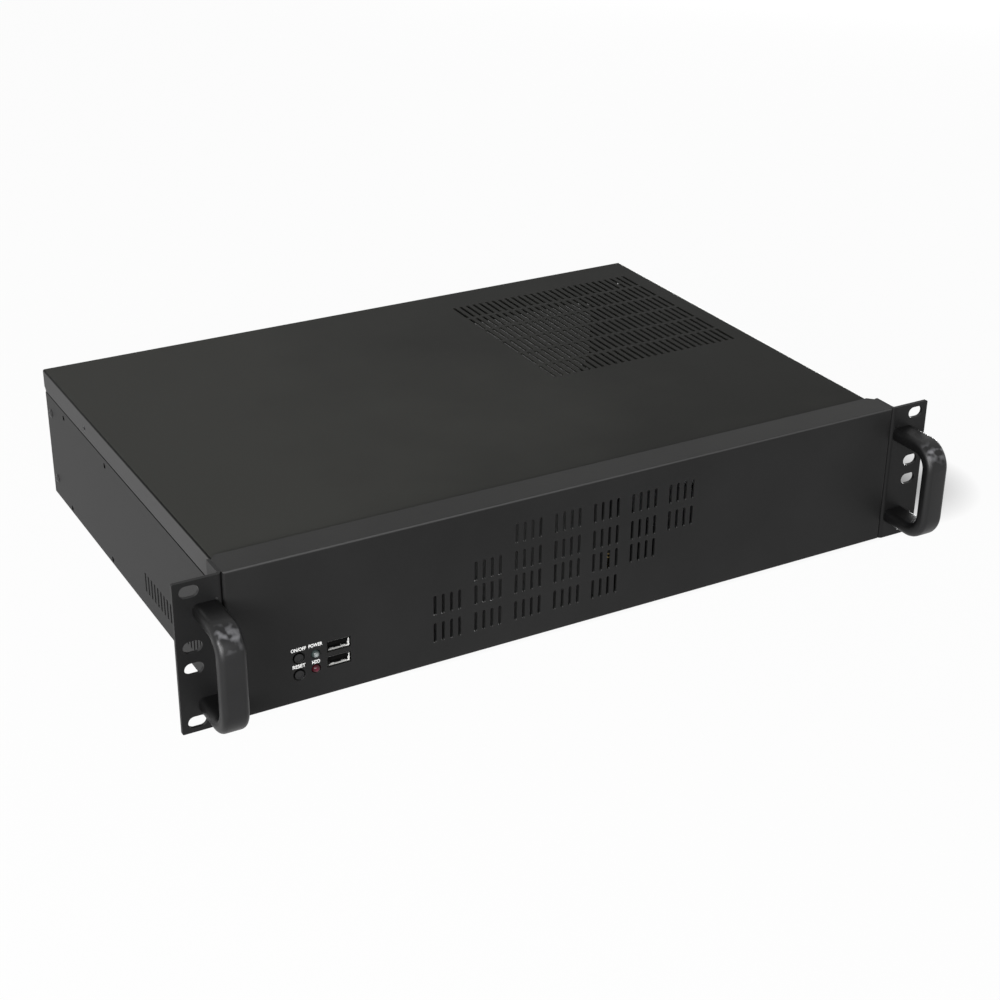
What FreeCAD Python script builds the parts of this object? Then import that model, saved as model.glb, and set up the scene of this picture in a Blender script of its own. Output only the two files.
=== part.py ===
import FreeCAD, Part
import math
import os
import Sketcher
from types import SimpleNamespace

# Empty 2U rackmount server case for 19-inch racks.
# Millimetres. X to the right, Y to the rear, Z up, seen from the front.
# The origin is the middle of the rack mounting plane: the rear face of the ears, at mid-height.

os.makedirs("parts", exist_ok=True)
doc = FreeCAD.newDocument("ServerCase")

drivingSizes = [
    ("rackWidth", 482.6),          # over both ears
    ("earHeight", 88.0),           # two rack units less the gap to the neighbours
    ("rackSlotInset", 8.75),       # slot's middle from the ear's outer edge
    ("outerSlotInset", 5.9),       # outer slots' middle from the ear's top and bottom
    ("innerSlotSpan", 12.7),       # between the two middle slots
    ("rackSlotLength", 10.5),
    ("rackSlotWidth", 6.8),
    ("earSheet", 2.0),
    ("earLegDepth", 17.0),         # ear's leg, front to back
    ("earBendRadius", 3.0),
    ("earCornerRadius", 1.0),
    ("toolingHoleRadius", 0.9),
    ("toolingHoleInset", 22.9),    # from the ear's outer edge
    ("toolingHoleHeight", 30.3),
    ("bodyInset", 28.3),           # ear's outer edge to the case's side wall
    ("caseDepth", 300.0),          # ear front to rear panel
    ("coverDrop", 0.9),            # cover's top below the front panel's top return
    ("sheetSteel", 1.0),           # chassis, rear panel and cover
    ("panelSheet", 1.2),           # front panel
    ("slipGap", 0.1),              # between sheets that lie on each other
    ("panelGap", 0.3),             # front panel to chassis
    ("panelReturn", 20.0),         # top return, over the cover's edge
    ("panelSideReturn", 15.0),
    ("panelCornerCut", 4.0),       # mitred rear corners of the top return
    ("panelBendRadius", 1.5),
    ("coverSideFlange", 13.6),
    ("coverRearFlange", 11.6),
    ("coverOverlap", 16.0),        # cover's front edge under the top return
    ("coverRearGap", 0.2),
    ("coverNotch", 3.0),
    ("seamGroove", 1.1),           # dark line under the cover's flange
    ("slopeShift", 0.45),          # sloping stretch's inner face, in sheet thicknesses
    ("wallLip", 8.0),              # inward lip that the cover lies on
    ("bendRadius", 1.2),
    ("ventPitch", 5.02),
    ("ventWidth", 2.1),
    ("ventLength", 12.2),
    ("ventGroupPitch", 25.1),      # every fifth slot is left out
    ("frontVentMiddle", -12.4),    # middle column of the front field
    ("frontVentOuterRow", 24.2),
    ("frontVentInnerRow", 7.35),
    ("coverVentLength", 20.0),
    ("coverVentPitch", 22.9),
    ("coverVentInset", 80.5),      # field's middle from the right wall
    ("coverVentRearInset", 91.4),
    ("sideVentRear", 126.9),       # rearmost slot's middle
    ("sideVentHeight", -25.05),
    ("bayDriveLength", 76.6),      # 2.5-inch drive holes in the left wall
    ("bayDriveWidth", 61.72),
    ("bayDriveInset", 73.1),       # from the rear edge
    ("bayDriveZ", -7.95),
    ("bayDriveHoleRadius", 1.7),
    ("rivetInset", 7.5),           # from the rear edge
    ("lowRivetHeight", -29.6),
    ("highRivetHeight", 15.6),
    ("rivetRadius", 1.6),
    ("rivetHeadRadius", 2.8),
    ("rivetHeadHeight", 0.9),
    ("coverScrewInset", 77.5),     # from the rear edge
    ("coverScrewRise", 4.9),       # above the flange's lower edge
    ("coverScrewRadius", 1.5),
    ("coverScrewSink", 0.8),
    ("earScrewHeight", 22.0),
    ("earScrewDepth", 9.0),        # behind the ears' front face
    ("earScrewRadius", 2.0),
    ("earScrewHeadRadius", 3.8),
    ("earScrewHeadHeight", 2.2),
    ("nutRadius", 3.5),
    ("nutHeight", 3.0),
    ("handleInset", 17.3),         # from the ear's outer edge
    ("handleMiddle", -1.5),        # middle of the two legs
    ("handleSpan", 55.0),          # leg to leg
    ("handleReach", 31.0),         # ear face to the bar's middle
    ("handleWidth", 14.8),
    ("handleThickness", 8.6),
    ("handleEdgeRadius", 3.2),
    ("handleBendRadius", 12.0),
    ("handleScrewRadius", 2.0),
    ("handleScrewSink", 1.7),
    ("handleScrewLength", 10.0),
    ("holeClearance", 0.1),        # radius of a hole over its screw
    ("rearFlange", 14.0),
    ("rearTopDrop", 4.5),          # rear panel's top below the cover
    ("boardEdgeInset", 264.0),     # left wall to the board's connector-side edge
    ("boardRearInset", 15.0),
    ("standoffHeight", 6.35),
    ("standoffRadius", 3.0),
    ("standoffBore", 1.45),
    ("apertureWidth", 158.75),     # board connectors
    ("apertureHeight", 44.45),
    ("apertureOffset", 81.9),      # board's edge to the aperture's middle
    ("apertureLift", 4.3),         # above the floor
    ("rearVentRise", 11.25),       # above the aperture
    ("slotPitch", 20.32),
    ("firstSlotOffset", 176.8),    # board's edge to the first slot
    ("slotWindowWidth", 84.0),
    ("slotFrameDepth", 13.0),
    ("slotOpeningWidth", 13.5),
    ("slotFrameLift", 3.6),        # above the floor
    ("slotFrameRim", 5.0),
    ("blankWidth", 18.4),
    ("blankSheet", 0.9),
    ("blankTab", 11.0),
    ("slotScrewRadius", 1.6),
    ("slotScrewHeadRadius", 3.0),
    ("slotScrewHeadHeight", 2.0),
    ("supplyWidth", 125.0),
    ("supplyHeight", 63.5),
    ("supplyInset", 81.5),         # from the right wall
    ("supplyHoleSpanX", 113.0),
    ("supplyHoleSpanZ", 51.5),
    ("supplyHoleRadius", 1.8),
    ("supplyRim", 4.0),            # supply's face that lies on the panel
    ("supplyCorner", 11.0),
    ("cageMiddleInset", 62.0),     # from the right wall
    ("cageInside", 102.2),
    ("cageWall", 1.2),
    ("cageHeight", 42.0),
    ("cageFront", 14.0),
    ("cageDepth", 132.0),
    ("cageHoleSpan", 101.6),
    ("cageHoleHeight", 8.0),
    ("cageWindow", 60.0),
    ("cageScrewRadius", 1.5),
    ("cageScrewInset", 12.0),
    ("buttonInset", 36.5),         # from the left wall
    ("powerButtonZ", -16.9),
    ("resetButtonZ", -27.0),
    ("buttonRadius", 3.1),
    ("buttonHoleRadius", 3.6),
    ("buttonProud", 0.3),
    ("buttonFlangeRadius", 4.4),
    ("buttonFlangeSheet", 0.8),
    ("buttonStemRadius", 1.6),
    ("buttonTravel", 0.8),
    ("lampInset", 46.2),
    ("powerLampZ", -17.1),
    ("driveLampZ", -26.0),
    ("lampRadius", 2.45),
    ("lampHoleRadius", 2.75),
    ("lampProud", 1.6),
    ("lampFlangeRadius", 2.9),
    ("lampFlangeSheet", 1.0),
    ("lampLength", 8.7),
    ("lampLeadRadius", 0.3),
    ("socketInset", 59.6),
    ("upperSocketZ", -15.0),
    ("lowerSocketZ", -24.3),
    ("socketWidth", 13.1),
    ("socketHeight", 5.7),
    ("socketShell", 0.35),
    ("socketLength", 13.0),
    ("socketGap", 0.45),
    ("tongueHeight", 1.9),
    ("tongueLength", 9.0),
    ("ioBoardWidth", 52.0),
    ("ioBoardHeight", 27.0),
    ("ioBoardInset", 49.0),
    ("ioBoardZ", -20.5),
    ("ioBoardSheet", 1.6),
    ("ioScrewInset", 3.2),
    ("ioStandoffRadius", 2.5),
    ("ioScrewRadius", 1.25),
    ("ioScrewHeadRadius", 2.4),
    ("ioScrewHeadHeight", 1.6),
    ("switchWidth", 6.0),
    ("switchDepth", 4.0),
]

sideVentCount = 20
coverVentColumns = 28
coverVentRows = 6
frontVentsInGroup = 4
rearVentCount = 30
slotCount = 4
lampRoundness = 0.95             # of the lamp's radius that its dome takes


class Size:
    """A length that keeps the sheet formula it was worked out with."""

    def __init__(self, number, formula):
        self.number = float(number)
        self.formula = formula

    def joined(self, other, sign, number):
        return Size(number, "(%s %s %s)" % (self.formula, sign, other.formula))

    def __add__(self, other):
        other = asSize(other)
        return self.joined(other, "+", self.number + other.number)

    def __sub__(self, other):
        other = asSize(other)
        return self.joined(other, "-", self.number - other.number)

    def __mul__(self, other):
        other = asSize(other)
        return self.joined(other, "*", self.number * other.number)

    def __truediv__(self, other):
        other = asSize(other)
        return self.joined(other, "/", self.number / other.number)

    def __radd__(self, other):
        return asSize(other) + self

    def __rsub__(self, other):
        return asSize(other) - self

    def __rmul__(self, other):
        return asSize(other) * self

    def __neg__(self):
        return asSize(-1) * self


def asSize(value):
    if isinstance(value, Size):
        return value
    return Size(value, repr(float(value)))


sheet = doc.addObject("Spreadsheet::Sheet", "Sizes")
s = SimpleNamespace()
for row, (word, number) in enumerate(drivingSizes, 1):
    sheet.set("A%d" % row, word)
    sheet.set("B%d" % row, str(number))
    sheet.setAlias("B%d" % row, word)
    setattr(s, word, Size(number, "Sizes." + word))
doc.recompute()

nodes = {}                       # node name: the object that is written to its file


# ---- helpers -------------------------------------------------------------------------

def bind(thing, path, size):
    """Ties a property to the sheet; a size of nought is left as it is."""
    size = asSize(size)
    if "Sizes" in size.formula:
        thing.setExpression(path, size.formula)
    else:
        holder, _, last = path.rpartition(".")
        if holder:
            thing.setExpression(path, size.formula)
        else:
            setattr(thing, last, size.number)


planeOf = {"X": ("YZ_Plane", 1), "Y": ("XZ_Plane", -1), "Z": ("XY_Plane", 1)}


def newBody(node):
    body = doc.addObject("PartDesign::Body", node)
    body.Label = node
    nodes[node] = body
    return body


def originFeature(body, role):
    return next(part for part in body.Origin.OriginFeatures if part.Role == role)


def sketchAcross(body, axis, height):
    """A sketch on the body's own origin plane across an axis, at a height along it."""
    role, sign = planeOf[axis]
    sketch = body.newObject("Sketcher::SketchObject", "Sketch")
    sketch.AttachmentSupport = [(originFeature(body, role), "")]
    sketch.MapMode = "FlatFace"
    bind(sketch, "AttachmentOffset.Base.z", asSize(height) * sign)
    sketch.addProperty("App::PropertyString", "Across")
    sketch.Across = axis
    return sketch


def hold(sketch, kind, elements, size):
    """Adds one dimension bound to the sheet; a distance of nought becomes point on axis."""
    size = asSize(size)
    if kind in ("DistanceX", "DistanceY") and size.number == 0 and "Sizes" not in size.formula:
        axisLine = -2 if kind == "DistanceX" else -1
        sketch.addConstraint(Sketcher.Constraint("PointOnObject", *elements, axisLine))
        return
    if kind in ("DistanceX", "DistanceY"):
        constraint = Sketcher.Constraint(kind, -1, 1, *elements, size.number)
    else:
        constraint = Sketcher.Constraint(kind, elements[0], size.number)
    index = sketch.addConstraint(constraint)
    if "Sizes" in size.formula:
        sketch.setExpression("Constraints[%d]" % index, size.formula)


def holdPoint(sketch, element, point, x, y):
    hold(sketch, "DistanceX", (element, point), x)
    hold(sketch, "DistanceY", (element, point), y)


def vector(x, y, z=0):
    return FreeCAD.Vector(asSize(x).number, asSize(y).number, asSize(z).number)


def polygon(sketch, corners):
    """A closed outline of straight lines through held corners."""
    first = sketch.GeometryCount
    ends = corners[1:] + corners[:1]
    lines = [Part.LineSegment(vector(*a), vector(*b)) for a, b in zip(corners, ends)]
    sketch.addGeometry(lines, False)
    count = len(corners)
    joins = []
    for i in range(count):
        joins.append(Sketcher.Constraint("Coincident", first + i, 2, first + (i + 1) % count, 1))
    sketch.addConstraint(joins)
    for i, (x, y) in enumerate(corners):
        holdPoint(sketch, first + i, 1, x, y)


def rectangle(sketch, middleX, middleY, width, height):
    left = middleX - asSize(width) / 2
    right = middleX + asSize(width) / 2
    low = middleY - asSize(height) / 2
    high = middleY + asSize(height) / 2
    polygon(sketch, [(left, low), (right, low), (right, high), (left, high)])


def circle(sketch, x, y, radius):
    disc = Part.Circle(vector(x, y), FreeCAD.Vector(0, 0, 1), asSize(radius).number)
    index = sketch.addGeometry(disc)
    holdPoint(sketch, index, 3, x, y)
    hold(sketch, "Radius", (index,), radius)


def roundedLoop(sketch, centres, radius, angles):
    """A closed outline of equal arcs about centres, joined by tangent lines."""
    first = sketch.GeometryCount
    up = FreeCAD.Vector(0, 0, 1)
    r = asSize(radius).number
    count = len(centres)
    arcs = []
    for (x, y), (start, end) in zip(centres, angles):
        arcs.append(Part.ArcOfCircle(Part.Circle(vector(x, y), up, r), start, end))
    lines = []
    for i in range(count):
        lines.append(Part.LineSegment(arcs[i].EndPoint, arcs[(i + 1) % count].StartPoint))
    sketch.addGeometry(arcs + lines, False)
    joins = []
    for i in range(count):
        line = first + count + i
        joins.append(Sketcher.Constraint("Tangent", first + i, 2, line, 1))
        joins.append(Sketcher.Constraint("Tangent", line, 2, first + (i + 1) % count, 1))
    for i in range(1, count):
        joins.append(Sketcher.Constraint("Equal", first, first + i))
    sketch.addConstraint(joins)
    hold(sketch, "Radius", (first,), radius)
    return first


def uprightSlot(sketch, x, y, length, width):
    half = (asSize(length) - width) / 2
    turns = [(0, math.pi), (math.pi, 2 * math.pi)]
    first = roundedLoop(sketch, [(x, y + half), (x, y - half)], asSize(width) / 2, turns)
    holdPoint(sketch, first, 3, x, y + half)
    holdPoint(sketch, first + 1, 3, x, y - half)


def levelSlot(sketch, x, y, length, width):
    half = (asSize(length) - width) / 2
    quarter = math.pi / 2
    turns = [(-quarter, quarter), (quarter, 3 * quarter)]
    first = roundedLoop(sketch, [(x + half, y), (x - half, y)], asSize(width) / 2, turns)
    holdPoint(sketch, first, 3, x + half, y)
    holdPoint(sketch, first + 1, 3, x - half, y)


def roundedRectangle(sketch, x, y, width, height, radius):
    halfX = asSize(width) / 2 - radius
    halfY = asSize(height) / 2 - radius
    quarter = math.pi / 2
    centres = [
        (x + halfX, y + halfY), (x - halfX, y + halfY),
        (x - halfX, y - halfY), (x + halfX, y - halfY),
    ]
    turns = [(k * quarter, (k + 1) * quarter) for k in range(4)]
    first = roundedLoop(sketch, centres, radius, turns)
    for side, way in enumerate(("Horizontal", "Vertical", "Horizontal", "Vertical")):
        sketch.addConstraint(Sketcher.Constraint(way, first + 4 + side))
    holdPoint(sketch, first, 3, *centres[0])
    holdPoint(sketch, first + 2, 3, *centres[2])


def pad(body, sketch, length, towards):
    """Pads towards +1 or -1 along the sketch's axis, or both ways with 0."""
    feature = body.newObject("PartDesign::Pad", "Pad")
    feature.Profile = sketch
    bind(feature, "Length", length)
    if towards == 0:
        feature.SideType = "Symmetric"
    else:
        feature.Reversed = planeOf[sketch.Across][1] != towards
    body.Tip = feature
    doc.recompute()
    return feature


def pocket(body, sketch, towards, depth=None):
    """Cuts towards +1 or -1 along the sketch's axis, or both ways with 0; no depth cuts through."""
    before = body.Shape.Volume
    feature = body.newObject("PartDesign::Pocket", "Pocket")
    feature.Profile = sketch
    if depth is None:
        feature.Type = "ThroughAll"
    else:
        bind(feature, "Length", depth)
    if towards == 0:
        feature.SideType = "Symmetric"
    else:
        feature.Reversed = planeOf[sketch.Across][1] == towards
    body.Tip = feature
    doc.recompute()
    if not body.Shape.Volume < before - 1e-6:
        raise RuntimeError("a pocket in %s cuts nothing: %s" % (body.Label, feature.getStatusString()))
    return feature


def repeat(body, feature, axis, pitch, count, axis2=None, pitch2=None, count2=None):
    """A linear pattern along one or two of the body's own axes."""
    pattern = body.newObject("PartDesign::LinearPattern", "LinearPattern")
    pattern.Originals = [feature]
    pattern.Direction = (originFeature(body, axis + "_Axis"), [""])
    pattern.Mode = "Spacing"
    bind(pattern, "Offset", pitch)
    pattern.Occurrences = count
    if axis2:
        pattern.Direction2 = (originFeature(body, axis2 + "_Axis"), [""])
        pattern.Mode2 = "Spacing"
        bind(pattern, "Offset2", pitch2)
        pattern.Occurrences2 = count2
        pattern.Spacings2 = [-1.0] * (count2 - 1)      # every step takes the common pitch
    body.Tip = pattern
    doc.recompute()
    if "Invalid" in pattern.State:
        raise RuntimeError("pattern in %s: %s" % (body.Label, pattern.getStatusString()))
    return pattern


def edgesAlong(shape, axis, places):
    """Names of the straight edges along an axis through the given points of the plane across it."""
    along = "XYZ".index(axis)
    across = [i for i in range(3) if i != along]
    names = []
    for i, edge in enumerate(shape.Edges, 1):
        if not isinstance(edge.Curve, Part.Line):
            continue
        a = edge.Vertexes[0].Point
        b = edge.Vertexes[-1].Point
        if abs(a[along] - b[along]) < 1e-3:
            continue
        for place in places:
            target = [asSize(value).number for value in place]
            if all(abs(a[k] - t) < 1e-3 and abs(b[k] - t) < 1e-3 for k, t in zip(across, target)):
                names.append("Edge%d" % i)
    return names


def rimsOf(shape, axis, height, radius):
    """Names of the round edges of a radius that lie at a height along an axis."""
    along = "XYZ".index(axis)
    level = asSize(height).number
    names = []
    for i, edge in enumerate(shape.Edges, 1):
        if not isinstance(edge.Curve, Part.Circle):
            continue
        if abs(edge.Curve.Radius - asSize(radius).number) > 1e-3:
            continue
        if all(abs(point.Point[along] - level) < 1e-3 for point in edge.Vertexes):
            names.append("Edge%d" % i)
    return names


def dress(body, kind, names, size, sizeName):
    if not names:
        raise RuntimeError("no edge to dress in %s" % body.Label)
    base = body.Tip
    feature = body.newObject("PartDesign::" + kind, kind)
    feature.Base = (base, names)
    bind(feature, sizeName, size)
    body.Tip = feature
    doc.recompute()
    if "Invalid" in feature.State:
        raise RuntimeError("%s in %s: %s" % (kind, body.Label, feature.getStatusString()))
    return feature


def fillet(body, names, radius):
    return dress(body, "Fillet", names, radius, "Radius")


def chamfer(body, names, size):
    return dress(body, "Chamfer", names, size, "Size")


directions = {
    "+X": (1, 0, 0), "-X": (-1, 0, 0),
    "+Y": (0, 1, 0), "-Y": (0, -1, 0),
    "+Z": (0, 0, 1), "-Z": (0, 0, -1),
}


def placed(thing, place, towards):
    """Stands a primitive with its own axis along a direction, its base at a held place."""
    turn = FreeCAD.Rotation(FreeCAD.Vector(0, 0, 1), FreeCAD.Vector(*directions[towards]))
    thing.Placement = FreeCAD.Placement(vector(*place), turn)
    for axis, size in zip("xyz", place):
        bind(thing, "Placement.Base." + axis, size)
    return thing


def rod(place, towards, radius, length):
    thing = doc.addObject("Part::Cylinder", "Rod")
    bind(thing, "Radius", radius)
    bind(thing, "Height", length)
    return placed(thing, place, towards)


def taper(place, towards, radius1, radius2, length):
    thing = doc.addObject("Part::Cone", "Taper")
    bind(thing, "Radius1", radius1)
    bind(thing, "Radius2", radius2)
    bind(thing, "Height", length)
    return placed(thing, place, towards)


def block(corner, length, width, height):
    thing = doc.addObject("Part::Box", "Block")
    bind(thing, "Length", length)
    bind(thing, "Width", width)
    bind(thing, "Height", height)
    return placed(thing, corner, "+Z")


def joined(parts):
    thing = doc.addObject("Part::MultiFuse", "Joined")
    thing.Shapes = parts
    thing.Refine = True
    return thing


def without(base, tool):
    thing = doc.addObject("Part::Cut", "Without")
    thing.Base = base
    thing.Tool = tool
    return thing


def node(label, thing):
    thing.Label = label
    nodes[label] = thing
    return thing


def setOf(label, parts):
    """One node that holds separate solids."""
    thing = doc.addObject("Part::Compound", label)
    thing.Links = parts
    return node(label, thing)


# ---- sizes that several pieces share ----------------------------------------------------

earFront = -s.earSheet
halfRack = s.rackWidth / 2
panelTop = s.earHeight / 2
panelBack = earFront + s.panelSheet
wallOutside = halfRack - s.bodyInset
wallInside = wallOutside - s.sheetSteel
panelHalf = wallOutside + s.slipGap + s.panelSheet
legInside = panelHalf + s.slipGap
legOutside = legInside + s.earSheet
caseFront = panelBack + s.panelGap
caseBack = earFront + s.caseDepth
floorUnder = s.panelSheet + s.slipGap * 2 - panelTop
floorTop = floorUnder + s.sheetSteel
coverTop = panelTop - s.panelSheet - s.coverDrop
coverUnder = coverTop - s.sheetSteel
flangeBottom = coverTop - s.coverSideFlange
joggle = s.sheetSteel + s.slipGap * 2
coverBack = caseBack + s.coverRearGap + s.sheetSteel
earScrewY = earFront + s.earScrewDepth
rivetY = caseBack - s.rivetInset
coverScrewY = caseBack - s.coverScrewInset
coverScrewZ = flangeBottom + s.coverScrewRise
handleX = halfRack - s.handleInset
rearTop = coverUnder - s.rearTopDrop
boardEdge = s.boardEdgeInset - wallInside
boardRear = caseBack - s.boardRearInset
apertureX = boardEdge - s.apertureOffset
apertureZ = floorTop + s.apertureLift + s.apertureHeight / 2
slotFrameBottom = floorTop + s.slotFrameLift
supplyX = wallInside - s.supplyInset
cageX = wallInside - s.cageMiddleInset
buttonX = s.buttonInset - wallInside
lampX = s.lampInset - wallInside
socketX = s.socketInset - wallInside
ioBoardX = s.ioBoardInset - wallInside
frontVentRows = (                # height, first group's column from the middle one, groups
    (s.frontVentOuterRow, -1, 5),
    (s.frontVentInnerRow, -2, 6),
    (-s.frontVentInnerRow, -3, 6),
    (-s.frontVentOuterRow, -3, 5),
)
supplyZ = floorTop + s.supplyHeight / 2
handleZ = [s.handleMiddle - s.handleSpan / 2, s.handleMiddle + s.handleSpan / 2]
boardHoles = []                  # x and y of the standoffs, from the board's datum corner
for fromEdge, fromRear in ((6.35, 33.02), (163.83, 10.16), (209.55, 10.16),
                           (6.35, 165.1), (163.83, 165.1), (209.55, 165.1),
                           (6.35, 237.49), (163.83, 237.49), (209.55, 237.49)):
    boardHoles.append((boardEdge - fromEdge, boardRear - fromRear))
cageOutside = s.cageInside / 2 + s.cageWall
cageHoleY = [s.cageFront + s.cageScrewInset, s.cageFront + s.cageDepth - s.cageScrewInset]
cageHoleX = [cageX + side * (s.cageInside / 2 - s.cageScrewInset) for side in (-1, 1)]
cageScrews = [(x, y) for x in cageHoleX for y in cageHoleY]
slotX = [boardEdge - s.firstSlotOffset - s.slotPitch * i for i in range(slotCount)]
windowX = (slotX[0] + slotX[-1]) / 2
frameFace = caseBack - s.slotFrameDepth
blankFace = frameFace - s.blankSheet
slotScrewY = frameFace + s.slotFrameDepth / 2


# ---- chassis tray -----------------------------------------------------------------------

def makeTray():
    """Floor and side walls folded from one sheet, joggled in at the top for the cover's flanges."""
    body = newBody("chassis_tray")
    sketch = sketchAcross(body, "Y", caseFront)
    t = s.sheetSteel
    shoulder = flangeBottom - s.seamGroove
    shift = t * s.slopeShift     # keeps the sloping stretch one sheet thick
    lipTop = coverUnder - s.slipGap
    right = [
        (wallOutside, floorUnder),
        (wallOutside, shoulder),
        (wallOutside - joggle, flangeBottom - s.slipGap),
        (wallOutside - joggle, lipTop),
        (wallOutside - joggle - s.wallLip, lipTop),
        (wallOutside - joggle - s.wallLip, lipTop - t),
        (wallOutside - joggle - t, lipTop - t),
        (wallOutside - joggle - t, flangeBottom - s.slipGap - shift),
        (wallInside, shoulder - shift),
        (wallInside, floorTop),
    ]
    left = [(-x, z) for x, z in reversed(right)]
    polygon(sketch, right + left)
    pad(body, sketch, caseBack - caseFront, 1)
    corners = [(wallOutside, floorUnder), (-wallOutside, floorUnder)]
    fillet(body, edgesAlong(body.Shape, "Y", corners), s.bendRadius)

    vent = sketchAcross(body, "X", 0)
    foremost = s.sideVentRear - s.ventPitch * (sideVentCount - 1)
    rectangle(vent, foremost, s.sideVentHeight, s.ventWidth, s.ventLength)
    repeat(body, pocket(body, vent, 0), "Y", s.ventPitch, sideVentCount)

    holes = sketchAcross(body, "X", 0)
    for z in (s.lowRivetHeight, s.highRivetHeight):
        circle(holes, rivetY, z, s.rivetRadius + s.holeClearance)
    for z in (-s.earScrewHeight, s.earScrewHeight):
        circle(holes, earScrewY, z, s.earScrewRadius + s.holeClearance)
    circle(holes, coverScrewY, coverScrewZ, s.coverScrewRadius)
    pocket(body, holes, 0)

    drive = sketchAcross(body, "X", 0)
    middle = caseBack - s.bayDriveInset
    for y in (middle - s.bayDriveLength / 2, middle + s.bayDriveLength / 2):
        for z in (s.bayDriveZ - s.bayDriveWidth / 2, s.bayDriveZ + s.bayDriveWidth / 2):
            circle(drive, y, z, s.bayDriveHoleRadius)
    pocket(body, drive, -1)

    floor = sketchAcross(body, "Z", 0)
    for x, y in boardHoles:
        circle(floor, x, y, s.standoffBore + s.holeClearance)
    for x, y in cageScrews:
        circle(floor, x, y, s.cageScrewRadius + s.holeClearance)
    pocket(body, floor, -1)


# ---- rear panel, slot frame and blanks ------------------------------------------------------

def makeRearPanel():
    body = newBody("rear_panel")
    t = s.sheetSteel
    half = wallInside - s.slipGap
    bottom = floorTop + s.slipGap
    flangeFront = caseBack - s.rearFlange
    plan = sketchAcross(body, "Z", bottom)
    polygon(plan, [
        (half, flangeFront), (half, caseBack), (-half, caseBack), (-half, flangeFront),
        (t - half, flangeFront), (t - half, caseBack - t),
        (half - t, caseBack - t), (half - t, flangeFront),
    ])
    pad(body, plan, rearTop - bottom, 1)
    top = sketchAcross(body, "Z", rearTop)
    rectangle(top, 0, caseBack - s.rearFlange / 2, half * 2, s.rearFlange)
    pad(body, top, t, -1)
    corners = [(half, caseBack), (-half, caseBack)]
    fillet(body, edgesAlong(body.Shape, "Z", corners), s.bendRadius)

    relief = sketchAcross(body, "Y", caseBack)     # clears the walls' joggle
    inner = half - joggle
    low = flangeBottom - s.seamGroove - s.sheetSteel
    for side in (-1, 1):
        rectangle(relief, side * (inner + half) / 2, rearTop, half - inner, (rearTop - low) * 2)
    pocket(body, relief, -1)

    cuts = sketchAcross(body, "Y", 0)
    rectangle(cuts, apertureX, apertureZ, s.apertureWidth, s.apertureHeight)
    openX = s.supplyWidth / 2 - s.supplyRim
    openZ = s.supplyHeight / 2 - s.supplyRim
    clipX = openX - s.supplyCorner               # the supply's opening has cut-off corners
    clipZ = openZ - s.supplyCorner
    outline = [
        (-clipX, -openZ), (clipX, -openZ), (openX, -clipZ), (openX, clipZ),
        (clipX, openZ), (-clipX, openZ), (-openX, clipZ), (-openX, -clipZ),
    ]
    polygon(cuts, [(supplyX + x, supplyZ + z) for x, z in outline])
    for x in (supplyX - s.supplyHoleSpanX / 2, supplyX + s.supplyHoleSpanX / 2):
        for z in (supplyZ - s.supplyHoleSpanZ / 2, supplyZ + s.supplyHoleSpanZ / 2):
            circle(cuts, x, z, s.supplyHoleRadius)
    pocket(body, cuts, 1)

    window = sketchAcross(body, "Z", rearTop)
    gap = s.slotWindowWidth + s.slipGap * 2
    rectangle(window, windowX, caseBack - s.rearFlange / 2, gap, s.rearFlange + t * 2)
    pocket(body, window, -1, rearTop - slotFrameBottom + s.slipGap)

    vent = sketchAcross(body, "Y", 0)
    firstVent = apertureX - s.ventPitch * ((rearVentCount - 1) / 2)
    ventZ = apertureZ + s.apertureHeight / 2 + s.rearVentRise
    rectangle(vent, firstVent, ventZ, s.ventWidth, s.ventLength)
    repeat(body, pocket(body, vent, 1), "X", s.ventPitch, rearVentCount)

    rivets = sketchAcross(body, "X", 0)
    for z in (s.lowRivetHeight, s.highRivetHeight):
        circle(rivets, rivetY, z, s.rivetRadius + s.holeClearance)
    pocket(body, rivets, 0)


def makeSlotFrame():
    """A tray set into the rear panel's window, so that the blanks' tabs lie inside the case."""
    body = newBody("slot_frame")
    t = s.sheetSteel
    height = rearTop - slotFrameBottom
    middle = (rearTop + slotFrameBottom) / 2
    outline = sketchAcross(body, "Y", caseBack)
    rectangle(outline, windowX, middle, s.slotWindowWidth, height)
    pad(body, outline, s.slotFrameDepth, -1)
    hollow = sketchAcross(body, "Y", caseBack)
    rectangle(hollow, windowX, middle, s.slotWindowWidth - t * 2, height - t * 2)
    pocket(body, hollow, -1, s.slotFrameDepth - t)
    openings = sketchAcross(body, "Y", caseBack)
    for x in slotX:
        rectangle(openings, x, middle, s.slotOpeningWidth, height - s.slotFrameRim * 2)
    pocket(body, openings, -1)
    holes = sketchAcross(body, "Z", rearTop)
    for x in slotX:
        circle(holes, x, slotScrewY, s.slotScrewRadius + s.holeClearance)
    pocket(body, holes, -1, t * 2)


def makeBlank(number, x):
    """An L-shaped slot blank: a plate behind the opening and a tab over the frame's top."""
    body = newBody("slot_cover_%d" % number)
    t = s.blankSheet
    low = slotFrameBottom + s.slipGap
    top = rearTop + t
    profile = sketchAcross(body, "X", x)
    polygon(profile, [
        (blankFace, low), (frameFace, low), (frameFace, rearTop),
        (frameFace + s.blankTab, rearTop), (frameFace + s.blankTab, top), (blankFace, top),
    ])
    pad(body, profile, s.blankWidth, 0)
    fillet(body, edgesAlong(body.Shape, "X", [(blankFace, top)]), t)
    hole = sketchAcross(body, "Z", top)
    circle(hole, x, slotScrewY, s.slotScrewRadius + s.holeClearance)
    pocket(body, hole, -1, t * 2)


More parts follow.
